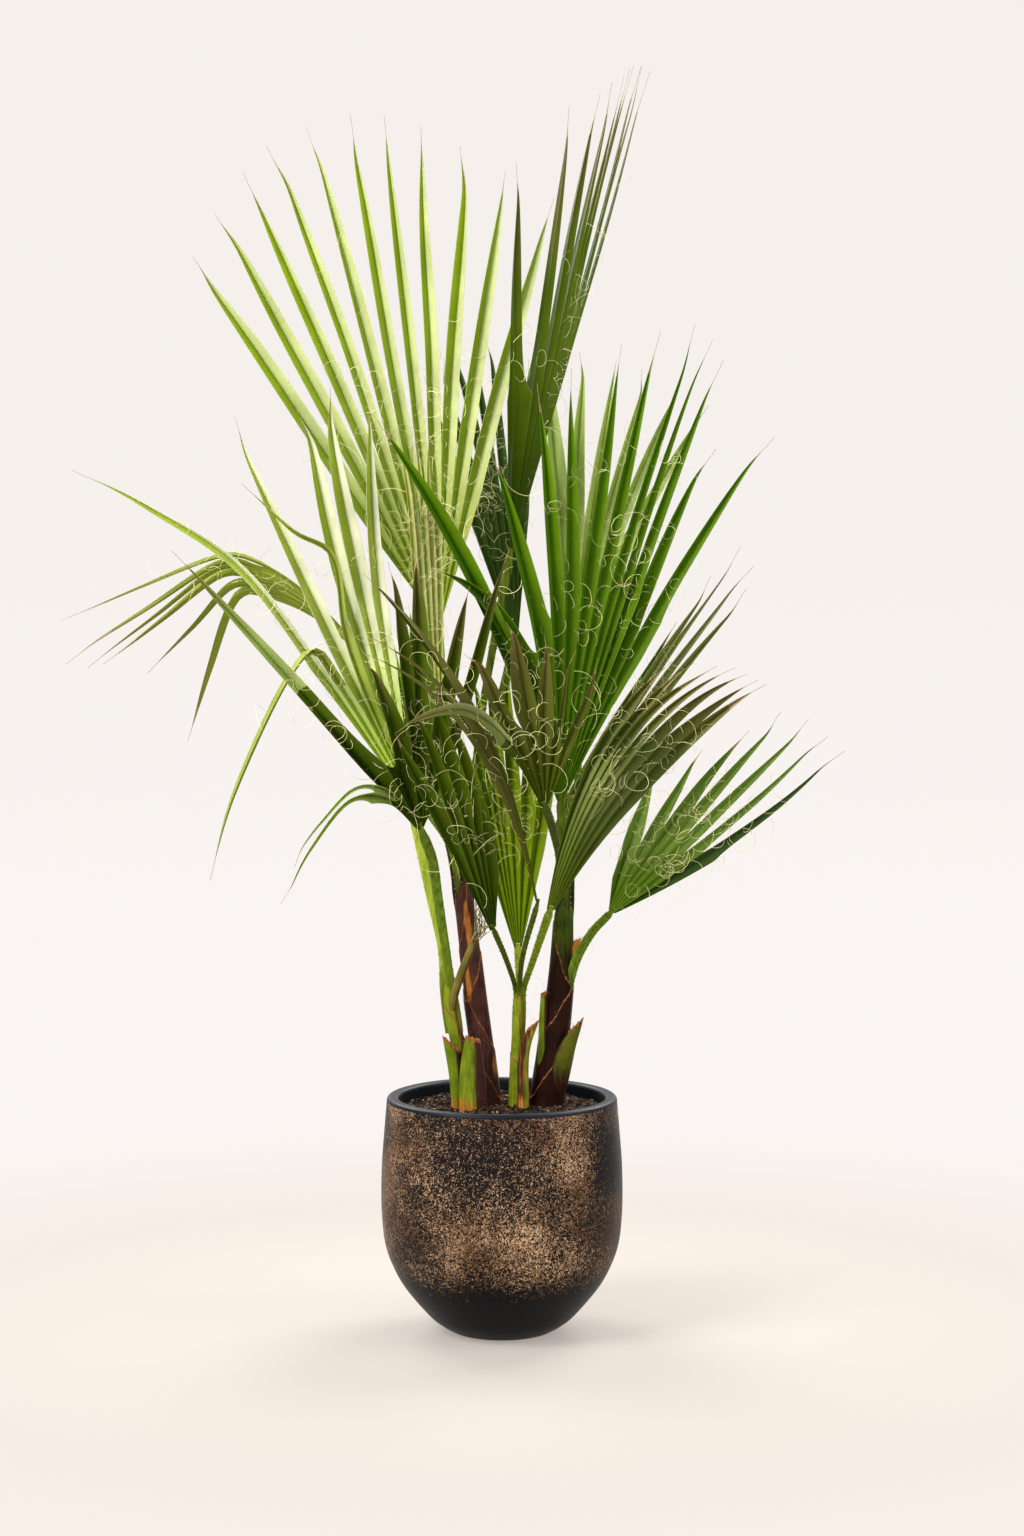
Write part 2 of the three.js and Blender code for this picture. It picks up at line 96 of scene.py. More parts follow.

# Stems: foot, places up to the top and radii at foot and top. Greens give how green the skin is by height.
# Sheaths are leaf bases that wrap the stem: height of the edge, its tilt, the way that its high side faces
# and how much greener it is under the edge. Husks are dry orange strips: foot, top, way and spread. Bare is
# the way of the side away from the light, where the green gives way to the brown skin as painted shade, and
# by how much.
# Ways are in degrees: 0 is left, 90 the back, 180 right and 270 the front.
STEMS = {
    "stem_left": dict(
        foot=(-48, 8), places=[(-53, 350, 8), (-62, 397, 6), (-67, 432, 4)], radii=(10, 7.5), finish="lime",
        greens=[(273, 0.35), (310, 0.8), (350, 1.0), (440, 1.0)], bare=(175, 0.75),
        sheaths=[(322, 12, 20, -0.3), (384, 22, 330, -0.2)],
        husks=[(262, 372, 215, 26),
        (262, 312, 320, 70)]),
    "stem_back": dict(
        foot=(-15, 28), places=[(-24, 350, 28), (-36, 446, 29), (-51, 570, 32)], radii=(16, 11),
        finish="purple",
        greens=[(273, 0.0), (560, 0.0), (600, 0.3)],
        sheaths=[(324, 42, 0, 0.04), (386, 38, 0, 0.0), (440, 30, 160, 0.05), (520, 44, 180, 0.0)],
        husks=[(462, 548, 262, 17), (398, 474, 300, 15), (300, 352, 210, 20), (420, 540, 90, 30)]),
    "stem_centre": dict(
        foot=(18, 8), places=[(20, 350, 8), (22, 425, 6)], radii=(10.5, 6.5), finish="lime",
        greens=[(273, 0.8), (300, 1.0), (430, 1.0)], bare=(200, 0.6),
        sheaths=[(338, 10, 20, -0.15), (392, 38, 0, -0.1)],
        husks=[(330, 362, 225, 26),
        (262, 290, 240, 60)]),
    "stem_right": dict(
        foot=(54, 20), places=[(63, 350, 20), (73, 446, 20), (78, 552, 20)], radii=(23, 10), finish="dark",
        greens=[(273, 0.0), (390, 0.0), (450, 0.28), (500, 0.55), (560, 0.9)],
        sheaths=[(330, 46, 180, 0.05), (398, 36, 180, 0.0), (470, 40, 20, -0.06)],
        husks=[(262, 284, 250, 80), (430, 500, 180, 14), (380, 460, 80, 30)]),
}

# Old leaf bases: a foot on the soil, or none where the base sits on a stem, then places up to the tip,
# radii at foot and tip, how far the cut top slants up to the left, how green the skin is and the way that
# its green side faces. Fade is the share from which the green sets in, husk how dry the skin is, and finish
# another skin.
BOOTS = {
    "boot_left": dict(foot=(-55, -2), places=[(-57, 322, -5), (-62, 360, -7)], radii=(6.5, 10.5), slant=11,
                      green=1.0, face=350),
    "boot_front": dict(foot=(-35, -14), places=[(-37, 335, -12), (-36, 367, -13)], radii=(17, 9), slant=2,
                       green=0.85, face=352),
    "boot_centre": dict(foot=(27, -5), places=[(27, 340, -7), (31, 362, -9), (39, 384, -11)], radii=(6.5, 5),
                        slant=-8, green=0.6, face=180, husk=0.3),
    "boot_green": dict(places=[(50, 300, 14), (51, 345, 8), (51, 380, 6), (52, 424, 5)], radii=(6, 3.8),
                       slant=-2, green=0.9, face=350),
    "boot_stub": dict(places=[(60, 284, 18), (69, 316, 8), (81, 355, 0), (92, 384, 0)], radii=(14, 5.5),
                      slant=-11, green=0.75, face=235, fade=0.1, finish="shaded"),
    "boot_husk": dict(places=[(80, 462, 22), (87, 476, 18), (94, 490, 16)], radii=(6, 3.2), slant=-3,
    green=0.0,
                      face=0, husk=0.9),
    "boot_dry": dict(places=[(-64, 392, 4), (-59, 420, -4), (-50, 448, -11), (-33, 491, -18)],
                     radii=(4.8, 4.3), slant=0, green=0.85, face=330, finish="withered"),
}

# The edge of the fan on which the strands of the withered stalk hang, from its hub up, and their number
NET = ((-14, 502, -94), (-34, 536, -115))
NET_STRANDS = 15

# Fronds, as in the part's source, with the finish of the leaf, how full its segments stay towards the tip
# and how many threads hang on it. Splits are the shares up to which neighbours are joined, where they vary,
# and slim narrows or widens single segments. Second is another finish, and tints says which segments have it
# and from what share. Dry is the share of a segment that is a dead thread at its tip, and brown is the share
# of its length from which it turns brown. Gather below 1 crowds the segments towards the last tip, and fold
# is how deeply they are pleated.
FRONDS = {
    "crown_left": dict(
        hub=(-78, 885, 60),
        tips=[(-381, 1324, 20), (-312, 1431, 90), (-234, 1487, 150), (-143, 1499, 190), (-46, 1461, 150),
              (58, 1400, 90)],
        count=11, joined=0.3, width=13, lift=10, stem="stem_back", turn=0, out=0, via=[(-66, 700, 44)],
        finish="lime", full=4.0, threads=130, dry=0.015),
    "crown_tall": dict(
        hub=(12, 973, 84),
        tips=[(21, 1442, -40), (84, 1508, 30), (136, 1536, 120), (158, 1558, 190), (178, 1554, 250)],
        count=10, joined=0.38, width=10, stem="stem_back", turn=10, out=8, via=[(-26, 760, 62)],
        finish="deep", full=2.2, threads=50, dry=0.05, brown=0.52, gather=0.62),
    "left": dict(
        hub=(-113, 669, 10),
        tips=[(-525, 1071, -60), (-430, 1100, -20), (-333, 1130, 20), (-290, 1147, 40), (-248, 1148, 20),
              (-210, 1170, 0), (-159, 1163, -20)],
        knees=[(-336, 1040, -40), (-240, 980, 30), (-174, 998, -10)],
        count=7, joined=0.35, width=11.5, stem="stem_left", turn=150, out=4.5, stalk=(5, 7),
        splits=[0.3, 0.25, 0.3, 0.42, 0.5, 0.5],
        via=[(-74, 480, 14), (-87, 541, 16), (-97, 589, 14)],
        bends={0: [(-234, 838, -22), (-325, 952, -38), (-433, 1021, -50), (-525, 1071, -60)],
               1: [(-205, 815, -18), (-232, 848, -34), (-262, 818, -62), (-332, 671, -70), (-361, 563, -64)],
               3: [(-190, 860, 4), (-211, 968, -22), (-256, 994, -46), (-318, 1053, -60)]},
        finish="pale", full=3.2, threads=90, slim=[0.7, 0.6, 1.0, 0.4, 1.0, 1.0, 0.9], second="olive",
        tints={1: 0.3, 3: 0}, dry=0.015, brown=0.88),
    "back_left": dict(
        hub=(-129, 787, 96), tips=[(-541, 884, 40), (-539, 834, 60), (-510, 827, 80), (-490, 829, 100),
                                   (-436, 819, 130), (-388, 734, 180)],
        knees=[(-236, 946, 88), (-228, 930, 96), (-218, 912, 104)],
        breaks=[(-336, 966, 70), (-342, 950, 80), (-322, 922, 100)],
        count=6, joined=0.45, width=10, stem="stem_back", turn=175, out=8, via=[(-84, 680, 62)],
        finish="olive", full=1.6, threads=24, dry=0.08, brown=0.5),
    "spear": dict(
        hub=(-76, 675, 0), tips=[(-125, 1115, 0), (-103, 1124, 15), (-81, 1105, 30)],
        count=5, joined=0.6, width=5, stem="stem_back", turn=235, out=8, via=[(-62, 610, 18)],
        finish="young", full=2.2, threads=80, second="straw", tints={0: 0, 3: 0}, dry=0.05, brown=0.85),
    "front_left": dict(
        hub=(-100, 628, -65),
        tips=[(-269, 532, -150), (-259, 582, -135), (-403, 971, -190), (-163, 842, -150), (-135, 959, -130),
              (-108, 972, -125), (-39, 927, -120), (11, 970, -100)],
        count=8, joined=0.32, width=10, lift=4, stem="stem_left", turn=330, out=4.5, stalk=(5, 6.5),
        splits=[0.3, 0.16, 0.3, 0.5, 0.56, 0.56, 0.42],
        via=[(-72, 493, -8), (-79, 541, -26), (-86, 589, -44)],
        bends={0: [(-140, 664, -92), (-186, 664, -118), (-236, 602, -140), (-269, 532, -150)],
               1: [(-141, 674, -90), (-180, 678, -108), (-226, 634, -126), (-259, 582, -135)]},
        finish="dark", full=2.4, threads=80, slim=[0.3, 0.26, 0.95, 1.15, 1.1, 1.2, 1.0, 0.9],
        second="fresh",
        tints={0: 0.22, 1: 0.22, 2: 0.52}, dry=0.03, brown=0.6),
    "low_left": dict(
        hub=(-11, 504, -90), tips=[(-133, 745, -250), (-88, 799, -220), (-39, 713, -130)],
        count=5, joined=0.5, width=12, lift=10, stem="stem_centre", turn=205, out=5.5, stalk=(2.6, 3.6),
        via=[(6, 463, -38)], finish="deep", full=2.2, threads=50, dry=0.04),
    "centre": dict(
        hub=(20, 479, -20), tips=[(-49, 743, 0), (-21, 848, 20), (72, 787, 20)],
        count=7, joined=0.55, width=9, stem="stem_centre", turn=90, out=2, stalk=(2.8, 5),
        via=[(21, 452, -4)], finish="bright", full=2.2, threads=46, dry=0.03),
    "front_small": dict(
        hub=(53, 657, -130),
        tips=[(-130, 746, -250), (-39, 848, -190), (14, 885, -170), (52, 865, -160), (90, 848, -150),
              (122, 835, -160)],
        count=6, joined=0.4, width=18, lift=6, stem="stem_right", turn=225, out=8, fold=0.55,
        splits=[0.48, 0.42, 0.38, 0.38, 0.36], via=[(72, 585, -20), (62, 630, -84)],
        bends={0: [(18, 725, -165), (-43, 773, -205), (-105, 762, -238), (-130, 746, -250)]},
        finish="bronze", full=2.4, threads=60, slim=[0.55, 0.6, 1.35, 1.35, 0.5, 1.0], second="mist",
        tints={0: 0.4}, dry=0.05, brown=0.5),
    "front_long": dict(
        hub=(44, 535, -112), tips=[(-173, 945, -240), (-160, 860, -255), (-165, 842, -270)],
        knees=[(-6, 800, -110), (-10, 800, -120), (-14, 790, -130)],
        count=3, joined=0.45, width=10.5, stem="stem_centre", turn=265, out=5.5, stalk=(2.6, 3.6),
        via=[(26, 470, -56)], finish="umber", full=1.6, threads=36, dry=0.06, brown=0.85),
    "right_front": dict(
        hub=(60, 527, -104), tips=[(209, 835, -200), (287, 826, -250), (326, 805, -170)],
        knees=[(98, 742, -150), (134, 762, -190), (164, 716, -140)],
        count=7, joined=0.55, width=10, stem="stem_centre", turn=325, out=5.5, stalk=(2.8, 5.5),
        via=[(38, 462, -30)], finish="grey", full=1.8, threads=50, dry=0.08, brown=0.55),
    "right_low": dict(
        hub=(136, 525, -60), tips=[(189, 700, -20), (349, 767, -150), (420, 726, -120)],
        knees=[(160, 610, -40), (243, 652, -130), (302, 615, -95)],
        count=7, joined=0.42, width=9.5, stem="stem_right", start=(85, 428, 12), stalk=(7, 4.6),
        splits=[0.4, 0.38, 0.44, 0.4, 0.34, 0.38], slim=[1.2, 0.9, 1, 0.9, 0.9, 0.6, 0.6],
        via=[(91, 462, 6), (111, 498, -24)], finish="grass", full=1.8, threads=120, dry=0.06, fold=0.4,
        second="blue", tints={6: 0}),
    "right_mid": dict(
        hub=(67, 626, 40), tips=[(217, 881, 80), (297, 973, 100), (305, 919, 110)],
        count=5, joined=0.35, width=7, lift=8, stem="stem_right", turn=150, out=8, via=[(71, 590, 30)],
        finish="mist", full=2.0, threads=70, dry=0.06, brown=0.6),
    "crown_right": dict(
        hub=(72, 663, 0),
        tips=[(-159, 1136, -130), (-92, 948, -110), (-17, 1092, -100), (42, 1173, -80), (85, 1193, -60),
              (144, 1222, -40), (196, 1238, -20), (242, 1243, 0), (254, 1228, 20), (264, 1206, 40),
              (259, 1096, 50), (333, 1109, 60)],
        knees=[(8, 914, -70), (120, 980, -10), (190, 935, 24)],
        count=12, joined=0.48, width=12, stem="stem_right", turn=290, out=8, via=[(76, 600, 10)],
        finish="green", full=2.1, threads=120, dry=0.04, brown=0.9,
        slim=[1, 1, 0.92, 0.88, 0.84, 0.8, 0.76, 0.72, 0.68, 0.7, 0.8, 0.66]),
    "back_right": dict(
        hub=(90, 860, 96), tips=[(53, 1221, 190), (160, 1197, 280), (252, 1148, 220)],
        count=6, joined=0.4, width=13, lift=10, stem="stem_right", turn=20, out=7.5,
        via=[(88, 620, 62), (94, 700, 86)], finish="fresh", full=2.2, threads=34,
        slim=[1, 0.8, 0.7, 0.7, 0.7, 0.75], dry=0.03),
    "back_centre": dict(
        hub=(16, 860, 120), tips=[(-100, 1184, 240), (-39, 1239, 320), (34, 1203, 360)],
        count=7, joined=0.45, width=12, lift=8, stem="stem_back", turn=65, out=8, via=[(-22, 700, 74)],
        finish="blue", full=2.4, threads=100, dry=0.04),
    "rear_left": dict(
        hub=(-95, 655, 140), tips=[(-178, 862, 400), (-142, 912, 430), (-98, 893, 420)],
        count=6, joined=0.4, width=11, lift=20, stem="stem_back", turn=120, out=8, via=[(-66, 610, 74)],
        finish="green", full=2.4, threads=30, dry=0.04),
    "rear_right": dict(
        hub=(78, 675, 120), tips=[(53, 885, 400), (120, 910, 440), (184, 858, 400)],
        count=7, joined=0.4, width=11, lift=20, stem="stem_right", turn=100, out=8, via=[(72, 610, 66)],
        finish="green", full=2.4, threads=30, dry=0.04),
}

# Sheath finishes: dark and light of the dry skin, then dark and light of the green skin
SHEATHS = {
    "purple": ("1C0C0B", "523129", "243406", "4C6418"),
    "dark": ("120404", "28130C", "1C2804", "3E4E0E"),
    "lime": ("2C1A0C", "603E1E", "3A4604", "84901E"),
    "base": ("2A1612", "3C221C", "3A4808", "74841A"),
    "withered": ("3A2C14", "5A4424", "3E3812", "7A6C34"),
    "shaded": ("1C1008", "3A241A", "262808", "585A14"),
}

# Leaf finishes: colour of the half away from the light, with painted shade in it, of the half towards it,
# with painted light in it and on the paler finishes a painted whitish sheen, and of light through them, and
# how bright a blade still is near its hub
LEAVES = {
    "lime": ("849A1E", "C2C68E", "ACC226", 0.58),
    "deep": ("304202", "62780E", "5A7E06", 0.36),
    "pale": ("98A83C", "E0DCC4", "B8CC3C", 1.0),
    "olive": ("8C9A36", "A8B256", "A8B63C", 0.75),
    "mist": ("6A783A", "989E64", "86983C", 0.8),
    "young": ("829428", "C4CA7C", "BCC83C", 0.85),
    "straw": ("9AA030", "CECE7E", "BEC040", 0.85),
    "dark": ("3E4E08", "566A0C", "5C7C06", 0.56),
    "bright": ("566A04", "7E9010", "88A808", 0.55),
    "bronze": ("464E12", "5C641C", "606C13", 0.6),
    "umber": ("464810", "68682C", "646C1C", 0.6),
    "grey": ("586620", "768042", "6E8422", 0.66),
    "grass": ("627C2C", "7A9240", "7A9C30", 0.75),
    "green": ("42640A", "668510", "68A000", 0.5),
    "fresh": ("8CA04C", "B2C078", "A8BC50", 0.5),
    "blue": ("34481C", "4A642C", "446424", 0.65),
}

# How much red, green and blue a blade keeps near its hub: on the half away from the light, on the half
# towards it, and on that half of a pale blade. Near its hub a blade turns deeper green, and darker, partly
# as painted shade where the fronds crowd
HUB_TINTS = {"shade": (0.72, 0.88, 0.26), "light": (1, 1.12, 0.28), "pale": (0.8, 1.05, 0.12)}

# Small differences between segments, as spreads: roll in radians, sway, flick at the tip and warp off the
# fan in millimetres, and how far the end of a join strays, as a share of the length
ROLL, SWAY, FLICK, WARP, STRAY = 0.3, 2.2, 5.0, 2.0, 0.018

# Threads lie at shares of a segment's length round the end of its join: how far beyond it, their spread, and
# the least and largest share
THREADS_BEYOND, THREADS_SPREAD, THREADS_FROM, THREADS_TO = 0.06, 0.15, 0.06, 0.75

# Fibres on each old leaf base, on each edge of a sheath, and on the soil
FIBRES = (9, 4, 46)

# In node trees: points closer than this are one, and a random turn is up to this
CLOSE = 0.001 * MM
FULL_TURN = 6.283

# Settings that many nodes share
SMOOTH = {"interpolation_type": "SMOOTHSTEP"}
RGBA = {"data_type": "RGBA"}
VECTOR = {"data_type": "FLOAT_VECTOR"}
NODE_FAMILIES = ("ShaderNode", "GeometryNode", "FunctionNode", "")


class PotSettings(bpy.types.PropertyGroup):
    sides: bpy.props.IntProperty(name="Sides", description="Steps round the pot", default=160, min=24)
    clay: bpy.props.StringProperty(
        name="Clay", description="Colour of the bare clay, sRGB hex", default="111114")
    rim: bpy.props.StringProperty(
        name="Rim", description="Colour of the plain rim, sRGB hex", default="0F1218")
    fleck: bpy.props.StringProperty(
        name="Fleck", description="Colour of the flecks, sRGB hex", default="D0AA84")
    fleck_size: bpy.props.FloatProperty(
        name="Fleck size", description="Width of a fleck", default=2.7 * MM, unit="LENGTH")
    fleck_foot: bpy.props.FloatProperty(
        name="Fleck foot", description="Height under which no flecks lie", default=46 * MM, unit="LENGTH")


class SoilSettings(bpy.types.PropertyGroup):
    lump: bpy.props.FloatProperty(
        name="Lump", description="Height of the soil's lumps", default=4 * MM, unit="LENGTH")
    crumbs: bpy.props.FloatProperty(
        name="Crumbs", description="Crumbs for each square metre", default=70000, min=0)
    bark: bpy.props.FloatProperty(
        name="Bark", description="Bark chips for each square metre", default=24000, min=0)
    bits: bpy.props.FloatProperty(
        name="Bits", description="Pale bits for each square metre", default=11000, min=0)


class LeafSettings(bpy.types.PropertyGroup):
    rows: bpy.props.IntProperty(name="Rows", description="Steps along a segment", default=44, min=12)
    half: bpy.props.IntProperty(name="Half", description="Steps across half a segment", default=4, min=2)
    thickness: bpy.props.FloatProperty(
        name="Thickness", description="Thickness of a blade at its hub", default=0.8 * MM, unit="LENGTH")
    fold: bpy.props.FloatProperty(
        name="Fold", description="Depth of a segment's fold over its half width",
        default=0.46, min=0, max=1)
    bulge: bpy.props.FloatProperty(
        name="Bulge", description="Rounding of each half of a segment over its width",
        default=0.14, min=0, max=1)
    seed: bpy.props.IntProperty(name="Seed", description="Seed of the small differences", default=7)


class StalkSettings(bpy.types.PropertyGroup):
    sides: bpy.props.IntProperty(name="Sides", description="Steps round a stalk", default=28, min=8)
    groove: bpy.props.FloatProperty(
        name="Groove", description="Depth of the groove along a stalk", default=0.45, min=0, max=1)
    teeth: bpy.props.IntProperty(
        name="Teeth", description="Teeth on each side of a stalk", default=26, min=0)
    tooth: bpy.props.FloatProperty(
        name="Tooth", description="Length of a tooth", default=2.6 * MM, unit="LENGTH")


class ThreadSettings(bpy.types.PropertyGroup):
    radius: bpy.props.FloatProperty(
        name="Radius", description="Radius of a thread", default=0.46 * MM, unit="LENGTH")
    shortest: bpy.props.FloatProperty(
        name="Shortest", description="Least scale of a curl", default=0.4, min=0)
    longest: bpy.props.FloatProperty(
        name="Longest", description="Largest scale of a curl", default=0.9, min=0)
    seed: bpy.props.IntProperty(name="Seed", description="Seed of the curls", default=11)


class StageSettings(bpy.types.PropertyGroup):
    floor: bpy.props.StringProperty(
        name="Floor", description="Colour of the floor, sRGB hex", default="F6EDE4")
    low: bpy.props.StringProperty(
        name="Low", description="Colour low behind the plant, sRGB hex", default="FBF6F3")
    high: bpy.props.StringProperty(
        name="High", description="Colour high behind the plant, sRGB hex", default="F5F0EC")
    key: bpy.props.FloatProperty(
        name="Key", description="Power of the key light, in watts", default=200, min=0)


SETTINGS = {"palm_pot": PotSettings, "palm_soil": SoilSettings, "palm_leaf": LeafSettings,
            "palm_stalk": StalkSettings, "palm_thread": ThreadSettings, "palm_stage": StageSettings}


# Colours and nodes
def linear(code):
    """An sRGB hex colour as the linear colour that a socket takes."""
    parts = [int(code[i:i + 2], 16) / 255 for i in (0, 2, 4)]
    return [c / 12.92 if c <= 0.04045 else ((c + 0.055) / 1.055) ** 2.4 for c in parts] + [1.0]


def node(tree, kind, inputs=(), **settings):
    """Adds a node and returns its outputs. The kind is its name without the family's, and may end in an
    operation. Inputs go in their order, or by name or number. A socket, or a list of sockets, is linked."""
    kind, _, operation = kind.partition(" ")
    made = tree.nodes.new(next(f + kind for f in NODE_FAMILIES if hasattr(bpy.types, f + kind)))
    for key, value in settings.items():
        setattr(made, key, value)
    if operation:
        made.operation = operation
    for key, value in inputs.items() if isinstance(inputs, dict) else enumerate(inputs):
        for item in value if isinstance(value, list) and hasattr(value[0], "is_linked") else [value]:
            if hasattr(item, "is_linked"):
                tree.links.new(item, made.inputs[key])
            else:
                made.inputs[key].default_value = item
    return made.outputs


def material(name):
    """An empty node material and the call that adds its nodes."""
    made = bpy.data.materials.new(name)
    made.use_nodes = True
    made.node_tree.nodes.clear()
    return made, partial(node, made.node_tree)


# Points, curves and meshes, in millimetres
def at(place):
    across, up, depth = place
    reach = (depth - EYE[1]) / -EYE[1]
    return np.array([EYE[0] + (across - EYE[0]) * reach, depth, EYE[2] + (up - EYE[2]) * reach], float)


def unit(v):
    return v / np.maximum(np.linalg.norm(v, axis=-1, keepdims=True), 1e-9)


def flatten(v, way):
    """v with its part along way taken out, at length one."""
    return unit(v - np.sum(v * way, axis=-1, keepdims=True) * way)


def spline(points, steps=160, power=0.25):
    """A Catmull-Rom curve through the points. Power 0.25 is the centripetal one, and 0 the even one."""
    points = np.array(points, float)
    ends = np.vstack([2 * points[0] - points[1], points, 2 * points[-1] - points[-2]])
    spans = len(points) - 1
    out = []
    for t in np.linspace(0, spans, steps + 1):
        i = min(int(t), spans - 1)
        u = t - i
        p0, p1, p2, p3 = ends[i:i + 4]
        pairs = ((p0, p1), (p1, p2), (p2, p3))
        d0, d1, d2 = [max(float(np.sum((b - a) ** 2)) ** power, 1e-4) for a, b in pairs]
        m1 = ((p1 - p0) / d0 - (p2 - p0) / (d0 + d1) + (p2 - p1) / d1) * d1
        m2 = ((p2 - p1) / d1 - (p3 - p1) / (d1 + d2) + (p3 - p2) / d2) * d1
        square, cube = 3 * (p2 - p1) - 2 * m1 - m2, 2 * (p1 - p2) + m1 + m2
        out.append(p1 + m1 * u + square * u ** 2 + cube * u ** 3)
    return np.array(out)


def bow(start, knee, tip, steps=120):
    t = np.linspace(0, 1, steps + 1)[:, None]
    return (1 - t) ** 2 * start + 2 * (1 - t) * t * knee + t ** 2 * tip


def along(path, shares):
    """Points and directions at shares of the path's length."""
    reach = np.concatenate([[0], np.cumsum(np.linalg.norm(np.diff(path, axis=0), axis=1))])
    reach /= reach[-1]

    def point(s):
        return np.stack([np.interp(s, reach, path[:, k]) for k in range(3)], axis=-1)
    shares = np.asarray(shares, float)
    ahead = point(np.minimum(shares + 0.006, 1)) - point(np.maximum(shares - 0.006, 0))
    return point(shares), unit(ahead)


def ease(x):
    x = np.clip(x, 0, 1)
    return x * x * (3 - 2 * x)


def as_object(name, mesh, smooth):
    """An object of the mesh, shaded smooth but for edges sharper than the angle in degrees."""
    mesh.shade_smooth()
    mesh.set_sharp_from_angle(angle=math.radians(smooth))
    made = bpy.data.objects.new(name, mesh)
    bpy.context.scene.collection.objects.link(made)
    return made


def mesh_piece(name, points, faces, materials=(), slots=None, values=None, smooth=30):
    """A mesh object from millimetre points, with its materials, the slot of each face and named values."""
    mesh = bpy.data.meshes.new(name)
    mesh.from_pydata((np.asarray(points) * MM).tolist(), [], [list(map(int, f)) for f in faces])
    for m in materials:
        mesh.materials.append(m)
    if slots is not None:
        mesh.polygons.foreach_set("material_index", np.asarray(slots, np.int32))
    for key, value in (values or {}).items():
        value = np.asarray(value)
        kind, field = ("FLOAT_VECTOR", "vector") if value.ndim == 2 else ("FLOAT", "value")
        mesh.attributes.new(key, kind, "POINT").data.foreach_set(field, value.astype(np.float32).ravel())
    mesh.update()
    return as_object(name, mesh, smooth)


def tube(rings):
    """Points and faces of a closed tube through rings of points, with a fan of faces over each end."""
    rows, sides = rings.shape[:2]
    points = np.vstack([rings.reshape(-1, 3), rings[0].mean(axis=0), rings[-1].mean(axis=0)])
    faces = []
    for r in range(rows - 1):
        for s in range(sides):
            n = (s + 1) % sides
            faces.append((r * sides + s, r * sides + n, (r + 1) * sides + n, (r + 1) * sides + s))
    foot, top = rows * sides, rows * sides + 1
    for s in range(sides):
        n = (s + 1) % sides
        faces.append((foot, n, s))
        faces.append((top, (rows - 1) * sides + s, (rows - 1) * sides + n))
    return points, faces


def rings_round(points, wide, thin, radius, left, back):
    """Rings of points round a path, from how far left and back each lies at a radius of one."""
    away = left[..., None] * wide[:, None] + back[..., None] * thin[:, None]
    return points[:, None] + radius[..., None] * away


def tube_values(value):
    """Values of rings of points, in the order in which tube gives its points."""
    return np.append(value[:, ::-1].ravel(), value[[0, -1]].mean(axis=1))


def turned(outline, sides):
    """Points and faces of a solid turned round Z, from (radius, height) with both ends on the axis."""
    inner = np.array(outline[1:-1], float)
    angles = np.linspace(0, 2 * math.pi, sides, endpoint=False)
    rings = np.stack([inner[:, None, 0] * np.cos(angles), inner[:, None, 0] * np.sin(angles),
                      np.repeat(inner[:, None, 1], sides, axis=1)], axis=-1)
    return tube(rings)


def finish_piece(piece, slot, *nodes):
    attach(piece, "root")
    if nodes:
        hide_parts(*nodes)


def new_tree(name, **kinds):
    """A Geometry Nodes tree with geometry in and out and named inputs of each kind. Gives the tree, the call
    that adds its nodes, and the sockets that hold the inputs."""
    tree = bpy.data.node_groups.new(name, "GeometryNodeTree")
    for kind, labels in {"Geometry": ["Geometry"], **kinds}.items():
        for label in labels:
            tree.interface.new_socket(label, in_out="INPUT", socket_type="NodeSocket" + kind)
    tree.interface.new_socket("Geometry", in_out="OUTPUT", socket_type="NodeSocketGeometry")
    add = partial(node, tree)
    return tree, add, add("NodeGroupInput")


def grown(name, source, tree, values, smooth=30):
    """Runs a node tree on the source object and keeps its result as a plain mesh object."""
    modifier = source.modifiers.new("grow", "NODES")
    modifier.node_group = tree
    for item in tree.interface.items_tree:
        if item.in_out == "INPUT" and item.name in values:
            modifier[item.identifier] = values[item.name]
    source.update_tag()
    graph = bpy.context.evaluated_depsgraph_get()
    mesh = bpy.data.meshes.new_from_object(source.evaluated_get(graph), depsgraph=graph)
    source.modifiers.remove(modifier)
    bpy.data.objects.remove(source)
    mesh.name = name
    return as_object(name, mesh, smooth)


def hang(name, hung, tree, slot, values):
    """Runs a node tree on points that each come with the direction that they face."""
    points, facings = [np.array(part) for part in zip(*hung)]
    seat = mesh_piece(name + "_seat", points, [], values={"facing": facings})
    finish_piece(grown(name, seat, tree, values), slot)


# Finishes
def coat(add, colour, roughness, relief, strength, depth, ior=1.5, sheen=SHEEN):
    """The skin that the finishes share: its colour, raised by a relief as deep as depth in millimetres."""
    bump = add("Bump", {"Strength": strength, "Distance": depth * MM, "Height": relief})
    return add("BsdfPrincipled", {
        "Base Color": colour, "Roughness": roughness, "IOR": ior, "Specular IOR Level": sheen,
        "Normal": bump[0]})[0]


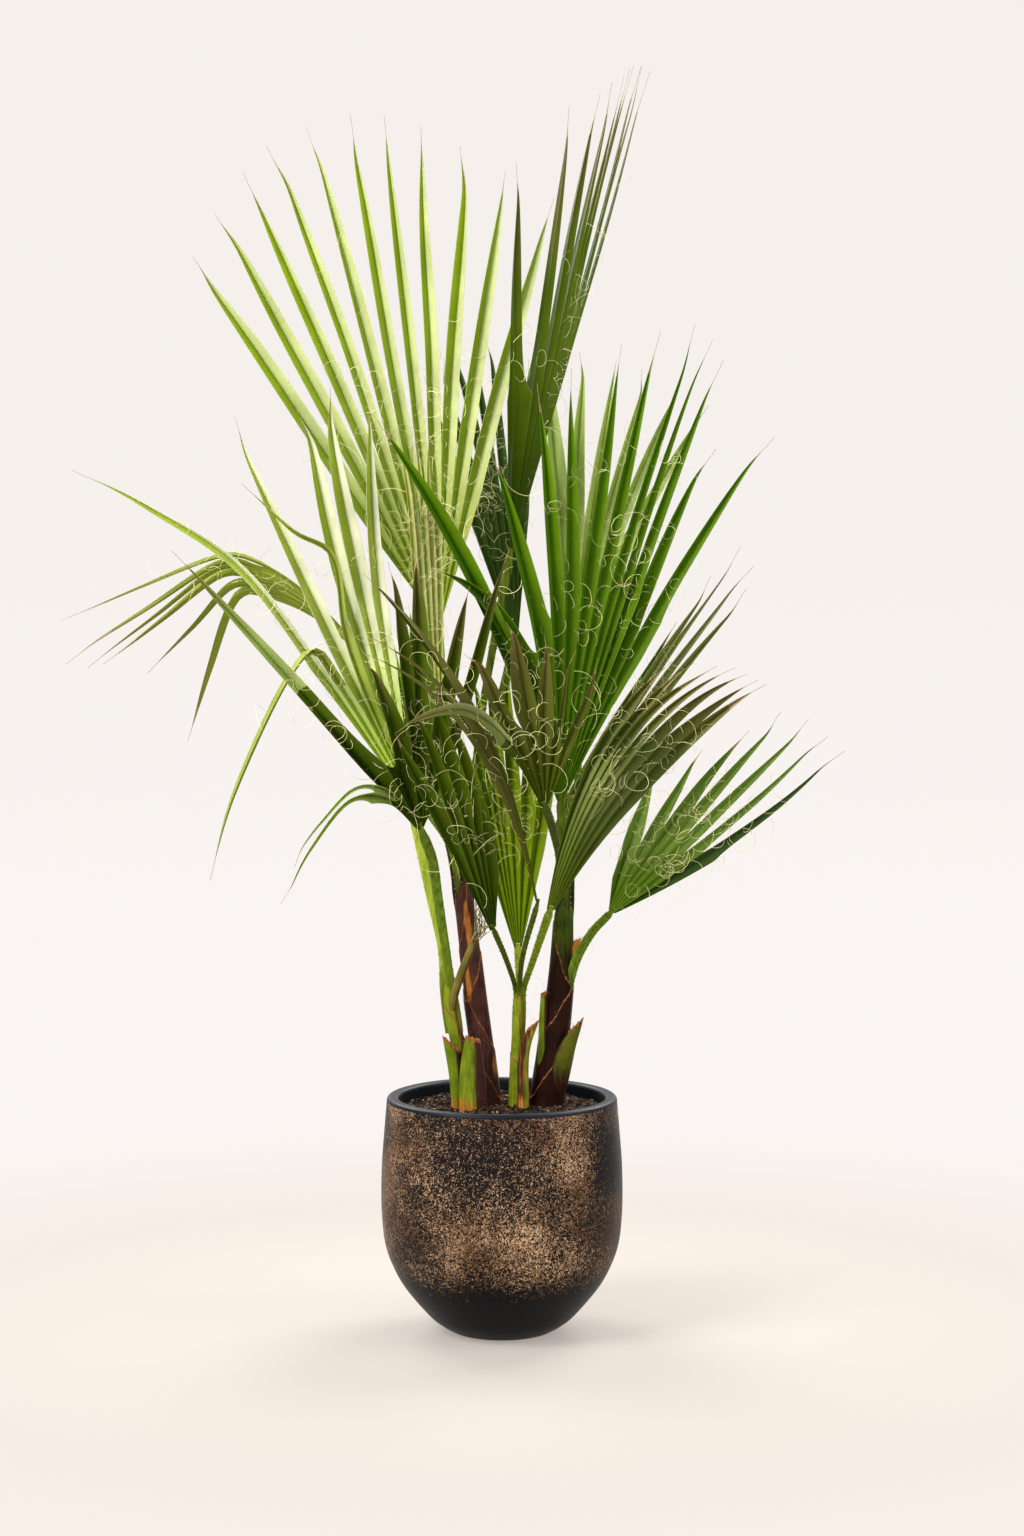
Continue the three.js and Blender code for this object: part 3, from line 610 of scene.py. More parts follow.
def fleck_finish(settings):
    """Fibre clay, cast and washed with a bronze lime: a matt black skin under fine tan worm-like flecks,
    thick in clouds and thinning out towards the foot. Set spots lay them thicker as a painted highlight and
    thinner as painted shade, mostly at the pot's sides."""
    made, add = material("flecked_fibre_clay")
    place = add("TexCoord")["Object"]
    height = add("SeparateXYZ", (place,))["Z"]
    clouds = add("TexNoise", {"Vector": place, "Scale": 11, "Detail": 3, "Roughness": 0.55})
    thick = add("MapRange", (clouds["Fac"], 0.3, 0.7, 0.4, 0.8))[0]
    # Spots of thicker and thinner flecks: painted highlights and painted shade on the pot, partly its own
    # clouding
    for spot, reach, gain in FLECK_CLOUDS_AND_PAINTED_LIGHT:
        off = add("VectorMath DISTANCE", (place, [c * MM for c in spot]))["Value"]
        more = add("MapRange", (off, reach * MM, 0.0, 0.0, gain), **SMOOTH)[0]
        thick = add("Math ADD", (thick, more))[0]
    foot, fading = settings.fleck_foot, 0.056
    rise = add("MapRange", (height, foot, foot + fading, 0.0, 1.0), **SMOOTH)[0]
    cover = add("Math MULTIPLY", (thick, rise))[0]
    worms = add("TexNoise", {
        "Vector": place, "Scale": 1.15 / settings.fleck_size, "Detail": 1.6, "Roughness": 0.55,
        "Distortion": 1.9})
    limit = add("MapRange", (cover, 0.0, 1.0, 0.76, 0.478))[0]
    over = add("Math SUBTRACT", (worms["Fac"], limit))[0]
    fleck = add("MapRange", (over, -0.002, 0.011, 0.0, 1.0), **SMOOTH)[0]
    shades = add("TexNoise", {"Vector": place, "Scale": 9, "Detail": 4, "Roughness": 0.7})
    shade = add("MapRange", (shades["Fac"], 0.35, 0.62))[0]
    tan = add("Mix", {0: shade, 6: linear("7E583C"), 7: linear(settings.fleck)}, **RGBA)[2]
    ground = add("Mix", {0: cover, 6: linear(settings.clay), 7: linear("140D08")}, **RGBA)[2]
    skin = add("Mix", {0: fleck, 6: ground, 7: tan}, **RGBA)[2]
    grit = add("TexNoise", {"Vector": place, "Scale": 900, "Detail": 2})
    relief = add("Math MULTIPLY_ADD", (fleck, 0.6, grit["Fac"]))[0]
    rough = add("MapRange", {0: fleck, 3: 0.42, 4: 0.7})[0]
    add("OutputMaterial", (coat(add, skin, rough, relief, 0.3, 0.4),))
    return made


def rim_finish(settings):
    """The same clay with a smooth sealed coat: satin blue-black, with a faint unevenness."""
    made, add = material("sealed_fibre_clay")
    place = add("TexCoord")["Object"]
    grain = add("TexNoise", {"Vector": place, "Scale": 420, "Detail": 3})
    skin = coat(add, linear(settings.rim), 0.45, grain["Fac"], 0.18, 0.4, sheen=1.4 * SHEEN)
    add("OutputMaterial", (skin,))
    return made


def crumb_finish(name, low, high, roughness=0.9):
    """Moist peat and bark: dull crumbs, each a little lighter or darker."""
    made, add = material(name)
    place = add("TexCoord")["Object"]
    grain = add("TexNoise", {"Vector": place, "Scale": 260, "Detail": 4, "Roughness": 0.7})
    tone = add("MapRange", (grain["Fac"], 0.3, 0.7))[0]
    colour = add("Mix", {0: tone, 6: linear(low), 7: linear(high)}, **RGBA)
    add("OutputMaterial", (coat(add, colour[2], roughness, grain["Fac"], 0.6, 1.5),))
    return made


def sheath_finish(name):
    """Palm leaf sheath: a smooth satin skin with fine lengthwise fibre, purple-brown or green, with dry
    orange strips and a thin torn brown rim where a sheath's edge wraps round the stem."""
    low, high, green_low, green_high = [linear(code) for code in SHEATHS[name]]
    made, add = material(name + "_palm_sheath")
    place = add("TexCoord")["Object"]
    stretched = add("Mapping", {"Vector": place, "Scale": (1, 1, 0.05)})[0]
    fibre = add("TexNoise", {"Vector": stretched, "Scale": 420, "Detail": 3, "Roughness": 0.6})
    blotch = add("TexNoise", {"Vector": place, "Scale": 45, "Detail": 4, "Roughness": 0.65})
    patch = add("Math MULTIPLY_ADD", (blotch["Fac"], 1.5, -0.65))
    tone = add("Math MULTIPLY_ADD", (fibre["Fac"], 1.0, patch[0]))[0]
    colour = add("Mix", {0: tone, 6: low, 7: high}, **RGBA)[2]
    living = add("Mix", {0: tone, 6: green_low, 7: green_high}, **RGBA)[2]
    dry = add("Mix", {0: tone, 6: linear("5E2E0C"), 7: linear("C47C36")}, **RGBA)[2]
    for value, tint, wander in (("green", living, 0.6), ("husk", dry, 1.1), ("seam", linear("7A4C2A"), 0.5)):
        amount = add("Attribute", attribute_name=value)["Fac"]
        around = add("Math SUBTRACT", (fibre["Fac"], 0.5))[0]
        ragged = add("Math MULTIPLY_ADD", (around, wander, amount))[0]
        share = add("MapRange", (ragged, 0.2, 0.7), **SMOOTH)[0]
        colour = add("Mix", {0: share, 6: colour, 7: tint}, **RGBA)[2]
    add("OutputMaterial", (coat(add, colour, 0.36, fibre["Fac"], 0.35, 0.6, ior=1.42),))
    return made


def stalk_finish(name, low, high, foot):
    """Palm leaf stalk: firm satin green skin with faint lengthwise streaks, brown where it leaves a stem."""
    made, add = material(name)
    place = add("TexCoord")["Object"]
    drawn = add("Mapping", {"Vector": place, "Scale": (1, 1, 0.08)})[0]
    streak = add("TexNoise", {"Vector": drawn, "Scale": 300, "Detail": 3, "Roughness": 0.6})
    tone = add("MapRange", (streak["Fac"], 0.3, 0.7))[0]
    living = add("Mix", {0: tone, 6: linear(low), 7: linear(high)}, **RGBA)[2]
    rise = add("Attribute", attribute_name="rise")["Fac"]
    ragged = add("Math MULTIPLY_ADD", (streak["Fac"], 0.3, rise))[0]
    clear = add("MapRange", (ragged, 0.3, 0.62), **SMOOTH)[0]
    colour = add("Mix", {0: clear, 6: linear(foot), 7: living}, **RGBA)[2]
    add("OutputMaterial", (coat(add, colour, 0.38, streak["Fac"], 0.25, 0.4, ior=1.42),))
    return made


def leaf_finish(name, colour, vein, through, base):
    """Living palm leaf: a waxy satin skin with parallel veins, a crisp midrib and a pale margin, deeper
    green near its hub and darker there partly as painted shade, and light that comes through from behind.
    The veins are drawn 2 to 3 mm apart, coarser than life, so that they show. The blade value counts the
    segments across, runs from hub to tip, and says how far a tip is dry."""
    made, add = material(name)
    blade = add("Attribute", attribute_name="blade")["Vector"]
    spot = add("SeparateXYZ", (blade,))
    across, up = spot["X"], spot["Y"]
    place = add("TexCoord")["Object"]
    drift = add("TexNoise", {"Vector": place, "Scale": 16, "Detail": 3, "Roughness": 0.6})
    tone = add("MapRange", (drift["Fac"], 0.3, 0.7, 0.8, 1.2))[0]
    patchy = add("Mix", {0: 1.0, 6: colour, 7: tone}, **RGBA, blend_type="MULTIPLY")[2]
    # Towards the hub the colour is multiplied by the base tint: deeper green, and darker partly as painted
    # shade
    reach = add("MapRange", (up, 0.05, 0.5), **SMOOTH)[0]
    depth = add("Mix", {0: reach, 6: base, 7: (1, 1, 1, 1)}, **RGBA)[2]
    skin = add("Mix", {0: 1.0, 6: patchy, 7: depth}, **RGBA, blend_type="MULTIPLY")[2]
    veined = add("Mix", {0: 1.0, 6: vein, 7: depth}, **RGBA, blend_type="MULTIPLY")[2]
    veins = 10.0
    lines = add("Math PINGPONG", (add("Math MULTIPLY", (across, veins))[0], 0.5))[0]
    broad = add("MapRange", (up, 0.75, 0.4), **SMOOTH)[0]
    fine = add("Math MULTIPLY", (add("MapRange", (lines, 0.3, 0.5, 0.0, 0.42), **SMOOTH)[0], broad))[0]
    from_rib = add("Math PINGPONG", (add("Math ADD", (across, 0.5))[0], 0.5))[0]
    rib = add("MapRange", (from_rib, 0.04, 0.012, 0.0, 0.6), **SMOOTH)[0]
    margin = add("MapRange", (from_rib, 0.455, 0.49, 0.0, 0.7), **SMOOTH)[0]
    outline = add("Math MAXIMUM", (rib, margin))[0]
    drawn = add("MapRange", (up, 0.55, 0.95, 1.0, 0.25), **SMOOTH)[0]
    pale = add("Math MAXIMUM", (fine, add("Math MULTIPLY", (outline, drawn))[0]))[0]
    colour = add("Mix", {0: pale, 6: skin, 7: veined}, **RGBA)[2]
    wander = add("Math MULTIPLY_ADD", (drift["Fac"], 0.5, spot["Z"]))[0]
    browned = add("MapRange", (wander, 0.3, 1.3, 0.0, 0.85), **SMOOTH)[0]
    colour = add("Mix", {0: browned, 6: colour, 7: linear("7C6A3E")}, **RGBA)[2]
    ridge = add("Math MULTIPLY", (broad, lines))[0]
    glow = add("BsdfTranslucent", {"Color": linear(through)})
    both = add("MixShader", (0.35, coat(add, colour, 0.42, ridge, 0.3, 0.3, ior=1.38), glow[0]))
    add("OutputMaterial", (both[0],))
    return made


def plain_finish(name, code, roughness):
    """Dry plant fibre: a dull single colour, too thin for a pattern to show."""
    made, add = material(name)
    shader = add("BsdfPrincipled", {"Base Color": linear(code), "Roughness": roughness})
    add("OutputMaterial", (shader[0],))
    return made


# Pot and soil
def pot_outlines():
    """Outer and inner (radius, height) of the pot's wall."""
    places = [(POT_FOOT_RADIUS, 0, 0)] + [(r, z, 0) for r, z in POT_OUTLINE]
    outer = spline(places + [(POT_RIM_RADIUS, POT_HEIGHT - RIM_ROUND, 0)], steps=64, power=0)[:, :2]
    inner = [(r - POT_WALL, z) for r, z in outer if POT_WALL + RIM_ROUND < z < POT_HEIGHT - RIM_WIDTH]
    return outer, inner


class PALM_OT_pot(bpy.types.Operator):
    """Turn the round pot with its flecked belly and plain rim"""
    bl_idname = "palm.pot"
    bl_label = "Pot"

    def execute(self, context):
        settings = context.scene.palm_pot
        outer, inner = pot_outlines()

        def arc(radius, start, end):
            turns = np.linspace(start, end, 9)
            return [(radius + math.cos(a) * RIM_ROUND, POT_HEIGHT - RIM_ROUND + math.sin(a) * RIM_ROUND)
                    for a in turns]
        outline = [(0, 0)] + [(POT_FOOT_RADIUS - inward, up) for inward, up in POT_BEVEL]
        outline += [tuple(p) for p in outer[1:-1]]
        outline += arc(POT_RIM_RADIUS - RIM_ROUND, 0, math.pi / 2)
        outline += arc(POT_RIM_RADIUS - RIM_WIDTH + RIM_ROUND, math.pi / 2, math.pi)
        outline += inner[::-1] + [(POT_FLOOR_RADIUS, POT_WALL), (0, POT_WALL)]
        points, faces = turned(outline, settings.sides)
        heights = np.array([np.mean([points[i][2] for i in f]) for f in faces])
        radii = np.array([np.hypot(*np.mean([points[i][:2] for i in f], axis=0)) for f in faces])
        wall = np.interp(heights, outer[:, 1], outer[:, 0])
        plain = (heights > POT_HEIGHT - RIM_ROUND) | (radii < wall - POT_WALL / 2)
        pot = mesh_piece("pot_body", points, faces, [fleck_finish(settings), rim_finish(settings)],
                         slots=plain.astype(int), smooth=40)
        finish_piece(pot, "pot", "pot")
        return {"FINISHED"}


def scatter_tree():
    """Nodes that strew lumpy bits over a surface."""
    sizes = ["Density", "Smallest", "Largest", "Flatness"]
    tree, add, given = new_tree("strewn_bits", Float=sizes, Int=["Seed"], Material=["Material"])
    ball = add("MeshIcoSphere", {"Radius": 1.0, "Subdivisions": 1})[0]
    noise = add("TexNoise", {"Scale": 1.1, "Detail": 2})
    pushed = add("VectorMath SUBTRACT", (noise["Color"], (0.5, 0.5, 0.5)))[0]
    offset = add("VectorMath SCALE", {0: pushed, "Scale": 2.0})[0]
    lump = add("SetPosition", {"Geometry": ball, "Offset": offset})[0]
    slab = add("CombineXYZ", (1.0, 0.65, given["Flatness"]))[0]
    shaped = add("Transform", {"Geometry": lump, "Scale": slab})[0]
    seed, lean = given["Seed"], 0.7
    spots = add("DistributePointsOnFaces", {
        "Mesh": given["Geometry"], "Density": given["Density"], "Seed": seed})
    low, high = given["Smallest"], given["Largest"]
    size = add("RandomValue", {2: low, 3: high, "Seed": seed}, data_type="FLOAT")[1]
    least, most = (-lean, -lean, 0.0), (lean, lean, FULL_TURN)
    turn = add("RandomValue", {0: least, 1: most, "Seed": seed}, **VECTOR)[0]
    strewn = add("InstanceOnPoints", {
        "Points": spots["Points"], "Instance": shaped, "Rotation": turn, "Scale": size})[0]
    solid = add("RealizeInstances", {"Geometry": strewn})[0]
    done = add("SetMaterial", {"Geometry": solid, "Material": given["Material"]})[0]
    add("NodeGroupOutput", {"Geometry": done})
    return tree


class PALM_OT_soil(bpy.types.Operator):
    """Fill the pot with soil and strew crumbs, bark and pale bits over it"""
    bl_idname = "palm.soil"
    bl_label = "Soil"

    def execute(self, context):
        settings = context.scene.palm_soil
        _, inner = pot_outlines()
        edge = POT_RIM_RADIUS - RIM_WIDTH - 1
        rings, sides, slope, sink = 46, 144, 12, 2.0
        side = [(POT_FLOOR_RADIUS - GAP, POT_WALL + GAP)]
        side += [(r - 0.4, z) for r, z in inner if z < SOIL_SHOWN - 6]
        top = [(edge * share, SOIL_SHOWN) for share in np.linspace(1, 0.02, rings)]
        points, faces = turned([(0, POT_WALL + GAP)] + side + top + [(0, SOIL_SHOWN)], sides)
        x, y = points[:, 0], points[:, 1]
        lumps = sum(np.sin(x * a + p) * np.sin(y * b + q) for a, b, p, q in (
            (0.11, 0.13, 0.4, 1.0), (0.23, 0.19, 2.0, 0.3), (0.41, 0.47, 1.1, 2.2), (0.83, 0.71, 0.2, 1.7)))
        on_top = points[:, 2] > SOIL_SHOWN - 0.5
        inward = np.clip((edge - np.hypot(x, y)) / slope, 0, 1)
        points[:, 2] += on_top * (lumps / 3 * settings.lump / MM * inward - sink)
        peat = crumb_finish("moist_peat", "080605", "1C1613")
        soil = mesh_piece("soil_bed", points, faces, [peat], smooth=60)
        finish_piece(soil, "soil", "soil")
        tree = scatter_tree()
        kinds = (("soil_crumbs", settings.crumbs, 1.3, 3.6, 0.8, 3, ("peat_crumb", "060505", "1E1916")),
                 ("soil_bark", settings.bark, 2.4, 6.0, 0.4, 5, ("pine_bark_chip", "0E0A08", "5A4536")),
                 ("soil_bits", settings.bits, 1.3, 3.4, 0.5, 8, ("coir_bit", "704C30", "C09A70")))
        discs = [f for f in faces if min(points[i][2] for i in f) > SOIL_SHOWN - 12
                 and np.hypot(*points[f[0]][:2]) < edge - 3]
        for name, density, low, high, flat, seed, finish in kinds:
            bed = mesh_piece(name + "_bed", points, discs)
            strewn = grown(name, bed, tree, {
                "Density": density, "Smallest": low * MM, "Largest": high * MM, "Flatness": flat,
                "Seed": seed, "Material": crumb_finish(*finish)})
            finish_piece(strewn, "soil")
        return {"FINISHED"}


# Stems, old leaf bases and petioles
def stem_path(spec):
    return spline([np.array([*spec["foot"], SOIL_LEVEL + GAP])] + [at(p) for p in spec["places"]])


def limb_frames(path, rows):
    shares = np.linspace(0, 1, rows + 1)
    points, ways = along(path, shares)
    wide = unit(np.cross(ways, (0, 1, 0)))
    return shares[:, None], points, ways, wide, np.cross(wide, ways)


def sheath_edges(spec, angles):
    """Height of each sheath's edge at the angles round a stem, with its slight unevenness."""
    return [z + tilt * np.cos(angles - math.radians(facing)) + 1.5 * np.sin(angles * 7 + z)
            + 0.7 * np.sin(angles * 23 + z) for z, tilt, facing, _ in spec["sheaths"]]


class PALM_OT_stems(bpy.types.Operator):
    """Build the stems out of wrapped leaf sheaths"""
    bl_idname = "palm.stems"
    bl_label = "Stems"

    def execute(self, context):
        finishes = {kind: sheath_finish(kind) for kind in ("purple", "dark", "lime")}
        sides, rows, sunk, over = 96, 200, 14, 12
        angles = np.linspace(0, 2 * math.pi, sides, endpoint=False)
        for name, spec in STEMS.items():
            path = stem_path(spec)
            path = np.vstack([path[0] - (0, 0, sunk), path, path[-1] + unit(path[-1] - path[-9]) * over])
            shares, points, _, wide, thin = limb_frames(path, rows)
            height = points[:, 2:3]
            thick, slim = spec["radii"]
            radius = thick + (slim - thick) * shares
            radius = radius * (1 - 0.75 * ease((shares - 0.84) / 0.16)) + np.zeros(sides)
            green = np.interp(height, *zip(*spec["greens"])) + np.zeros(sides)
            # The side that bare names, away from the light, loses its green: painted shade
            if "bare" in spec:
                facing, amount = spec["bare"]
                green -= amount * ease((np.cos(angles - math.radians(facing)) + 0.1) / 0.8)
            seam, husk = np.zeros((rows + 1, sides)), np.zeros((rows + 1, sides))
            for edge, (_, _, _, shift) in zip(sheath_edges(spec, angles), spec["sheaths"]):
                below = edge - height
                under = ease((below + 0.7) / 1.4) * np.exp(-np.clip(below, 0, None) / 60)
                radius += under
                green += shift * under
                seam = np.maximum(seam, np.exp(-(below / 1.5) ** 2))
            for low, high, facing, spread in spec["husks"]:
                away = (angles - math.radians(facing) + math.pi) % (2 * math.pi) - math.pi
                inside = ease((height - low) / 30) * ease((high - height) / 30)
                husk = np.maximum(husk, inside * np.exp(-(away / math.radians(spread)) ** 2))
            ribbed = 0.1 * np.sin(angles * 31 + 5 * np.sin(height / 37))
            radius += ribbed + 0.1 * np.sin(angles * 17 + height / 19)
            rings = rings_round(points, wide, thin, radius, np.cos(angles)[None, :], np.sin(angles)[None, :])
            made, faces = tube(rings[:, ::-1])
            values = {"green": tube_values(green), "seam": tube_values(seam), "husk": tube_values(husk)}
            finish = finishes[spec["finish"]]
            stem = mesh_piece(name + "_sheaths", made, faces, [finish], values=values, smooth=50)
            finish_piece(stem, "stem", name)
        return {"FINISHED"}


class PALM_OT_leaf_bases(bpy.types.Operator):
    """Build the old leaf bases round the stems, with their torn hollow tops"""
    bl_idname = "palm.leaf_bases"
    bl_label = "Old leaf bases"

    def execute(self, context):
        finishes = {kind: sheath_finish(kind) for kind in ("base", "withered", "shaded")}
        sides, rows, sunk = 48, 60, 8.0
        angles = np.linspace(0, 2 * math.pi, sides, endpoint=False)
        left = np.cos(angles)[None, :]
        for index, (name, spec) in enumerate(BOOTS.items()):
            places = [at(p) for p in spec["places"]]
            if "foot" in spec:
                places = [np.array([*spec["foot"], SOIL_LEVEL - sunk])] + places
            shares, points, ways, wide, thin = limb_frames(spline(places), rows)
            low, high = spec["radii"]
            girth = low + (high - low) * shares ** 1.6 + 0.12 * low * np.sin(math.pi * shares)
            torn = np.sin(angles * 9 + index)[None, :] + 0.6 * np.sin(angles * 23 + 2 * index)[None, :]
            rise = ease((shares - 0.7) / 0.3)
            shift = rise * (spec["slant"] * left + 1.1 * torn)
            keel = 1 - 0.35 * np.clip(np.sin(angles), 0, 1)[None, :]
            back = np.sin(angles)[None, :] * keel * BOOT_FLATNESS
            rings = rings_round(points, wide, thin, girth, left, back) + shift[..., None] * ways[:, None]
            hollow = [points[-1] + (rings[-1] - points[-1]) * share - ways[-1] * drop
                      for share, drop in ((0.86, 0.6), (0.8, 4), (0.5, 7), (0.1, 8))]
            rings = np.concatenate([rings, np.array(hollow)])
            facing = np.cos(angles - math.radians(spec["face"]))[None, :]
            green = spec["green"] * ease((facing + 0.6) / 1.1) * ease((1.03 - shares) / 0.12)
            green = green * ease((shares - spec.get("fade", -0.4)) / 0.6)
            seam = np.maximum(ease((shares - 0.96) / 0.04), 0.25 * np.exp(-((facing + 0.5) / 0.06) ** 2))
            foot = 0.85 * ease((0.5 - shares) / 0.5) * ease((left + 0.9) / 1.2) * ("foot" in spec)
            husk = np.maximum(ease((shares - 0.93) / 0.07) * 0.7, foot)
            husk = np.maximum(husk, spec.get("husk", 0))
            made, faces = tube(rings[:, ::-1])
            values = {}
            for key, value, last in (("green", green, 0.0), ("seam", seam, 0.2), ("husk", husk, 1.0)):
                inside = np.full((len(hollow), sides), last)
                value = np.vstack([value + np.zeros((rows + 1, sides)), inside])
                values[key] = tube_values(value)
            finish = finishes[spec.get("finish", "base")]
            scale = mesh_piece(name + "_scale", made, faces, [finish], values=values, smooth=50)
            finish_piece(scale, "leaf_base", name)
        return {"FINISHED"}


def petiole_path(spec):
    """The stalk's line, sunk in its stem at the foot and run on a little under the blade."""
    hub, via = at(spec["hub"]), [at(p) for p in spec["via"]]
    arrival = unit(hub - via[-1])
    stem = stem_path(STEMS[spec["stem"]])
    if "start" in spec:
        start = [at(spec["start"]) + (-22, 6, -52), at(spec["start"]) + (-9, 2, -18)]
    else:
        turn = math.radians(spec["turn"])
        out = np.array((math.cos(turn), math.sin(turn), 0)) * spec["out"]
        top = stem[-1] + out + (0, 0, PETIOLE_RISE)
        down = unit(stem[-1] - stem[-30])
        start = [top - down * 60 - out * 0.3, top - down * 22, top]
    return spline(start + via + [hub - arrival * 14, hub + arrival * 7])


def stalk_tree():
    """Nodes that sweep a grooved stalk along its line and set teeth on both of its edges."""
    sizes = ["Flatness", "Groove", "Tooth"]
    tree, add, given = new_tree(
        "grooved_stalk", Int=["Sides", "Teeth"], Float=sizes, Material=["Material", "Edge"])
    line = add("MeshToCurve", {"Mesh": given["Geometry"]})[0]
    upper = add("InputNamedAttribute", {"Name": "upper"}, **VECTOR)[0]
    girth = add("InputNamedAttribute", {"Name": "girth"}, data_type="FLOAT")[0]
    turned_line = add("SetCurveNormal", {"Curve": line, "Normal": upper}, mode="FREE")[0]
    ring = add("CurvePrimitiveCircle", {"Resolution": given["Sides"], "Radius": 1.0})[0]
    place = add("SeparateXYZ", (add("InputPosition")[0],))
    dip = add("Math POWER", (add("Math MAXIMUM", (place["X"], 0.0))[0], 3.0))[0]
    depth = add("Math MULTIPLY_ADD", (add("Math MULTIPLY", (dip, given["Groove"]))[0], -1.0, place["X"]))[0]
    flat = add("Math MULTIPLY", (depth, given["Flatness"]))[0]
    drawn = add("CombineXYZ", (flat, place["Y"]))[0]
    section = add("SetPosition", {"Geometry": ring, "Position": drawn})[0]
    stalk = add("CurveToMesh", {
        "Curve": turned_line, "Profile Curve": section, "Scale": girth, "Fill Caps": True})[0]
    skinned = add("SetMaterial", {"Geometry": stalk, "Material": given["Material"]})[0]
    spots = add("CurveToPoints", {"Curve": turned_line, "Count": given["Teeth"]}, mode="COUNT")
    side = add("VectorMath CROSS_PRODUCT", (spots["Tangent"], spots["Normal"]))[0]
    thorn = add("MeshCone", {
        "Vertices": 4, "Side Segments": 1, "Radius Top": 0.0, "Radius Bottom": 0.32, "Depth": 1.0})[0]
    thorns = []
    for way, seed in ((1.0, 1), (-1.0, 2)):
        out = add("VectorMath SCALE", {0: side, "Scale": way})[0]
        seat = add("VectorMath SCALE", {0: out, "Scale": add("Math MULTIPLY", (girth, 0.93))[0]})[0]
        edge = add("SetPosition", {"Geometry": spots["Points"], "Offset": seat})[0]
        lean = add("VectorMath MULTIPLY_ADD", (spots["Tangent"], (0.7, 0.7, 0.7), out))[0]
        aim = add("AlignRotationToVector", {"Vector": lean}, axis="Z")[0]
        size = add("RandomValue", {2: 0.35, 3: 1.0, "Seed": seed}, data_type="FLOAT")[1]
        length = add("Math MULTIPLY", (size, given["Tooth"]))[0]
        thorns.append(add("InstanceOnPoints", {
            "Points": edge, "Instance": thorn, "Rotation": aim, "Scale": length})[0])
    joined = add("JoinGeometry", {"Geometry": thorns})[0]
    solid = add("RealizeInstances", {"Geometry": joined})[0]
    teeth = add("SetMaterial", {"Geometry": solid, "Material": given["Edge"]})[0]
    done = add("JoinGeometry", {"Geometry": [skinned, teeth]})[0]
    add("NodeGroupOutput", {"Geometry": done})
    return tree


class PALM_OT_petioles(bpy.types.Operator):
    """Sweep the leaf stalks, with their grooved upper side and toothed edges"""
    bl_idname = "palm.petioles"
    bl_label = "Petioles"

    def execute(self, context):
        settings = context.scene.palm_stalk
        skins = {"pale": ("728A14", "B4BE4C"), "light": ("567010", "90A232"), "mid": ("40580E", "748A28"),
                 "deep": ("323E08", "5A6A1C")}
        feet = {"stem_left": "5A6414", "stem_centre": "525C10", "stem_back": "2E1A16",
                "stem_right": "2A2C0E"}
        of_leaf = {"pale": "pale", "bright": "pale", "grey": "light",
                   **dict.fromkeys(("lime", "young", "fresh", "dark", "grass"), "mid")}
        finishes = {}
        edge = plain_finish("dry_stalk_tooth", "8E8C48", 0.6)
        tree = stalk_tree()
        for name, spec in FRONDS.items():
            shares, points, _, _, thin = limb_frames(petiole_path(spec), 80)
            low, high = spec.get("stalk", STALK_RADII)
            girth = low + (high - low) * shares + low * 0.7 * ease(1 - shares / 0.3)
            girth = girth * (1 - 0.55 * ease((shares - 0.9) / 0.1))
            line = mesh_piece(name + "_line", points, [], values={
                "girth": girth[:, 0] * MM, "upper": -thin, "rise": shares[:, 0]})
            line.data.edges.add(len(points) - 1)
            steps = np.arange(len(points) - 1)
            line.data.edges.foreach_set("vertices", np.stack([steps, steps + 1], axis=1).ravel())
            look = (of_leaf.get(spec["finish"], "deep"), spec["stem"])
            if look not in finishes:
                finishes[look] = stalk_finish("%s_stalk_on_%s" % look, *skins[look[0]], feet[look[1]])
            stalk = grown("stalk_" + name, line, tree, {
                "Sides": settings.sides, "Flatness": PETIOLE_FLATNESS, "Groove": settings.groove,
                "Teeth": settings.teeth, "Tooth": settings.tooth,
                "Material": finishes[look], "Edge": edge}, smooth=60)
            finish_piece(stalk, "petiole", "petiole_" + name)
        return {"FINISHED"}


# Fronds
def frond_lines(spec, shares, rng):
    """Points, directions and sideways directions of each segment's rib at shares of its length."""
    hub = at(spec["hub"])
    arrival = unit(hub - at(spec["via"][-1]))
    tips, knees, breaks = [spline([at(p) for p in spec[key]], power=0) if key in spec else None
                           for key in ("tips", "knees", "breaks")]
    across = flatten(tips[-1] - tips[0], arrival)
    count = spec["count"]
    points, ways, sides = [], [], []
    for i in range(count):
        share = i / (count - 1)
        start = hub + across * (share - 0.5) * HUB_WIDTH
        if i in spec.get("bends", {}):
            path = spline([start] + [at(p) for p in spec["bends"][i]])
        else:
            pick = int(round(share ** spec.get("gather", 1) * (len(tips) - 1)))
            knee = knees[pick].copy() if knees is not None else (start + tips[pick]) / 2
            knee[2] += 2 * spec.get("lift", 0)
            path = bow(start, knee, tips[pick])
            if breaks is not None:
                fold = breaks[pick]
                rise = bow(start, knees[pick], fold - unit(fold - knees[pick]) * 12)
                path = spline(np.vstack([rise[::12], fold + unit(tips[pick] - fold) * 12,
                                         (fold + tips[pick]) / 2, tips[pick]]))
        line, way = along(path, shares)
        way[0] = arrival
        side = np.empty_like(line)
        side[0] = across
        for r in range(1, len(shares)):
            side[r] = flatten(side[r - 1], way[r])
        free = ease((shares - spec["joined"]) / (1 - spec["joined"]))[:, None]
        face = np.cross(side, way)
        roll = rng.normal(0, ROLL) * free
        sway = rng.normal(0, SWAY) * np.sin(shares * math.pi * rng.uniform(1.5, 2.6))[:, None] * free
        flick = rng.normal(0, FLICK) * ease((shares - 0.86) / 0.14)[:, None] ** 2
        points.append(line + side * (sway + flick) + face * rng.normal(0, WARP) * free * (1 - free) * 4)
        ways.append(way)
        sides.append(unit(side * np.cos(roll) + face * np.sin(roll)))
    return np.array(points), np.array(ways), np.array(sides)


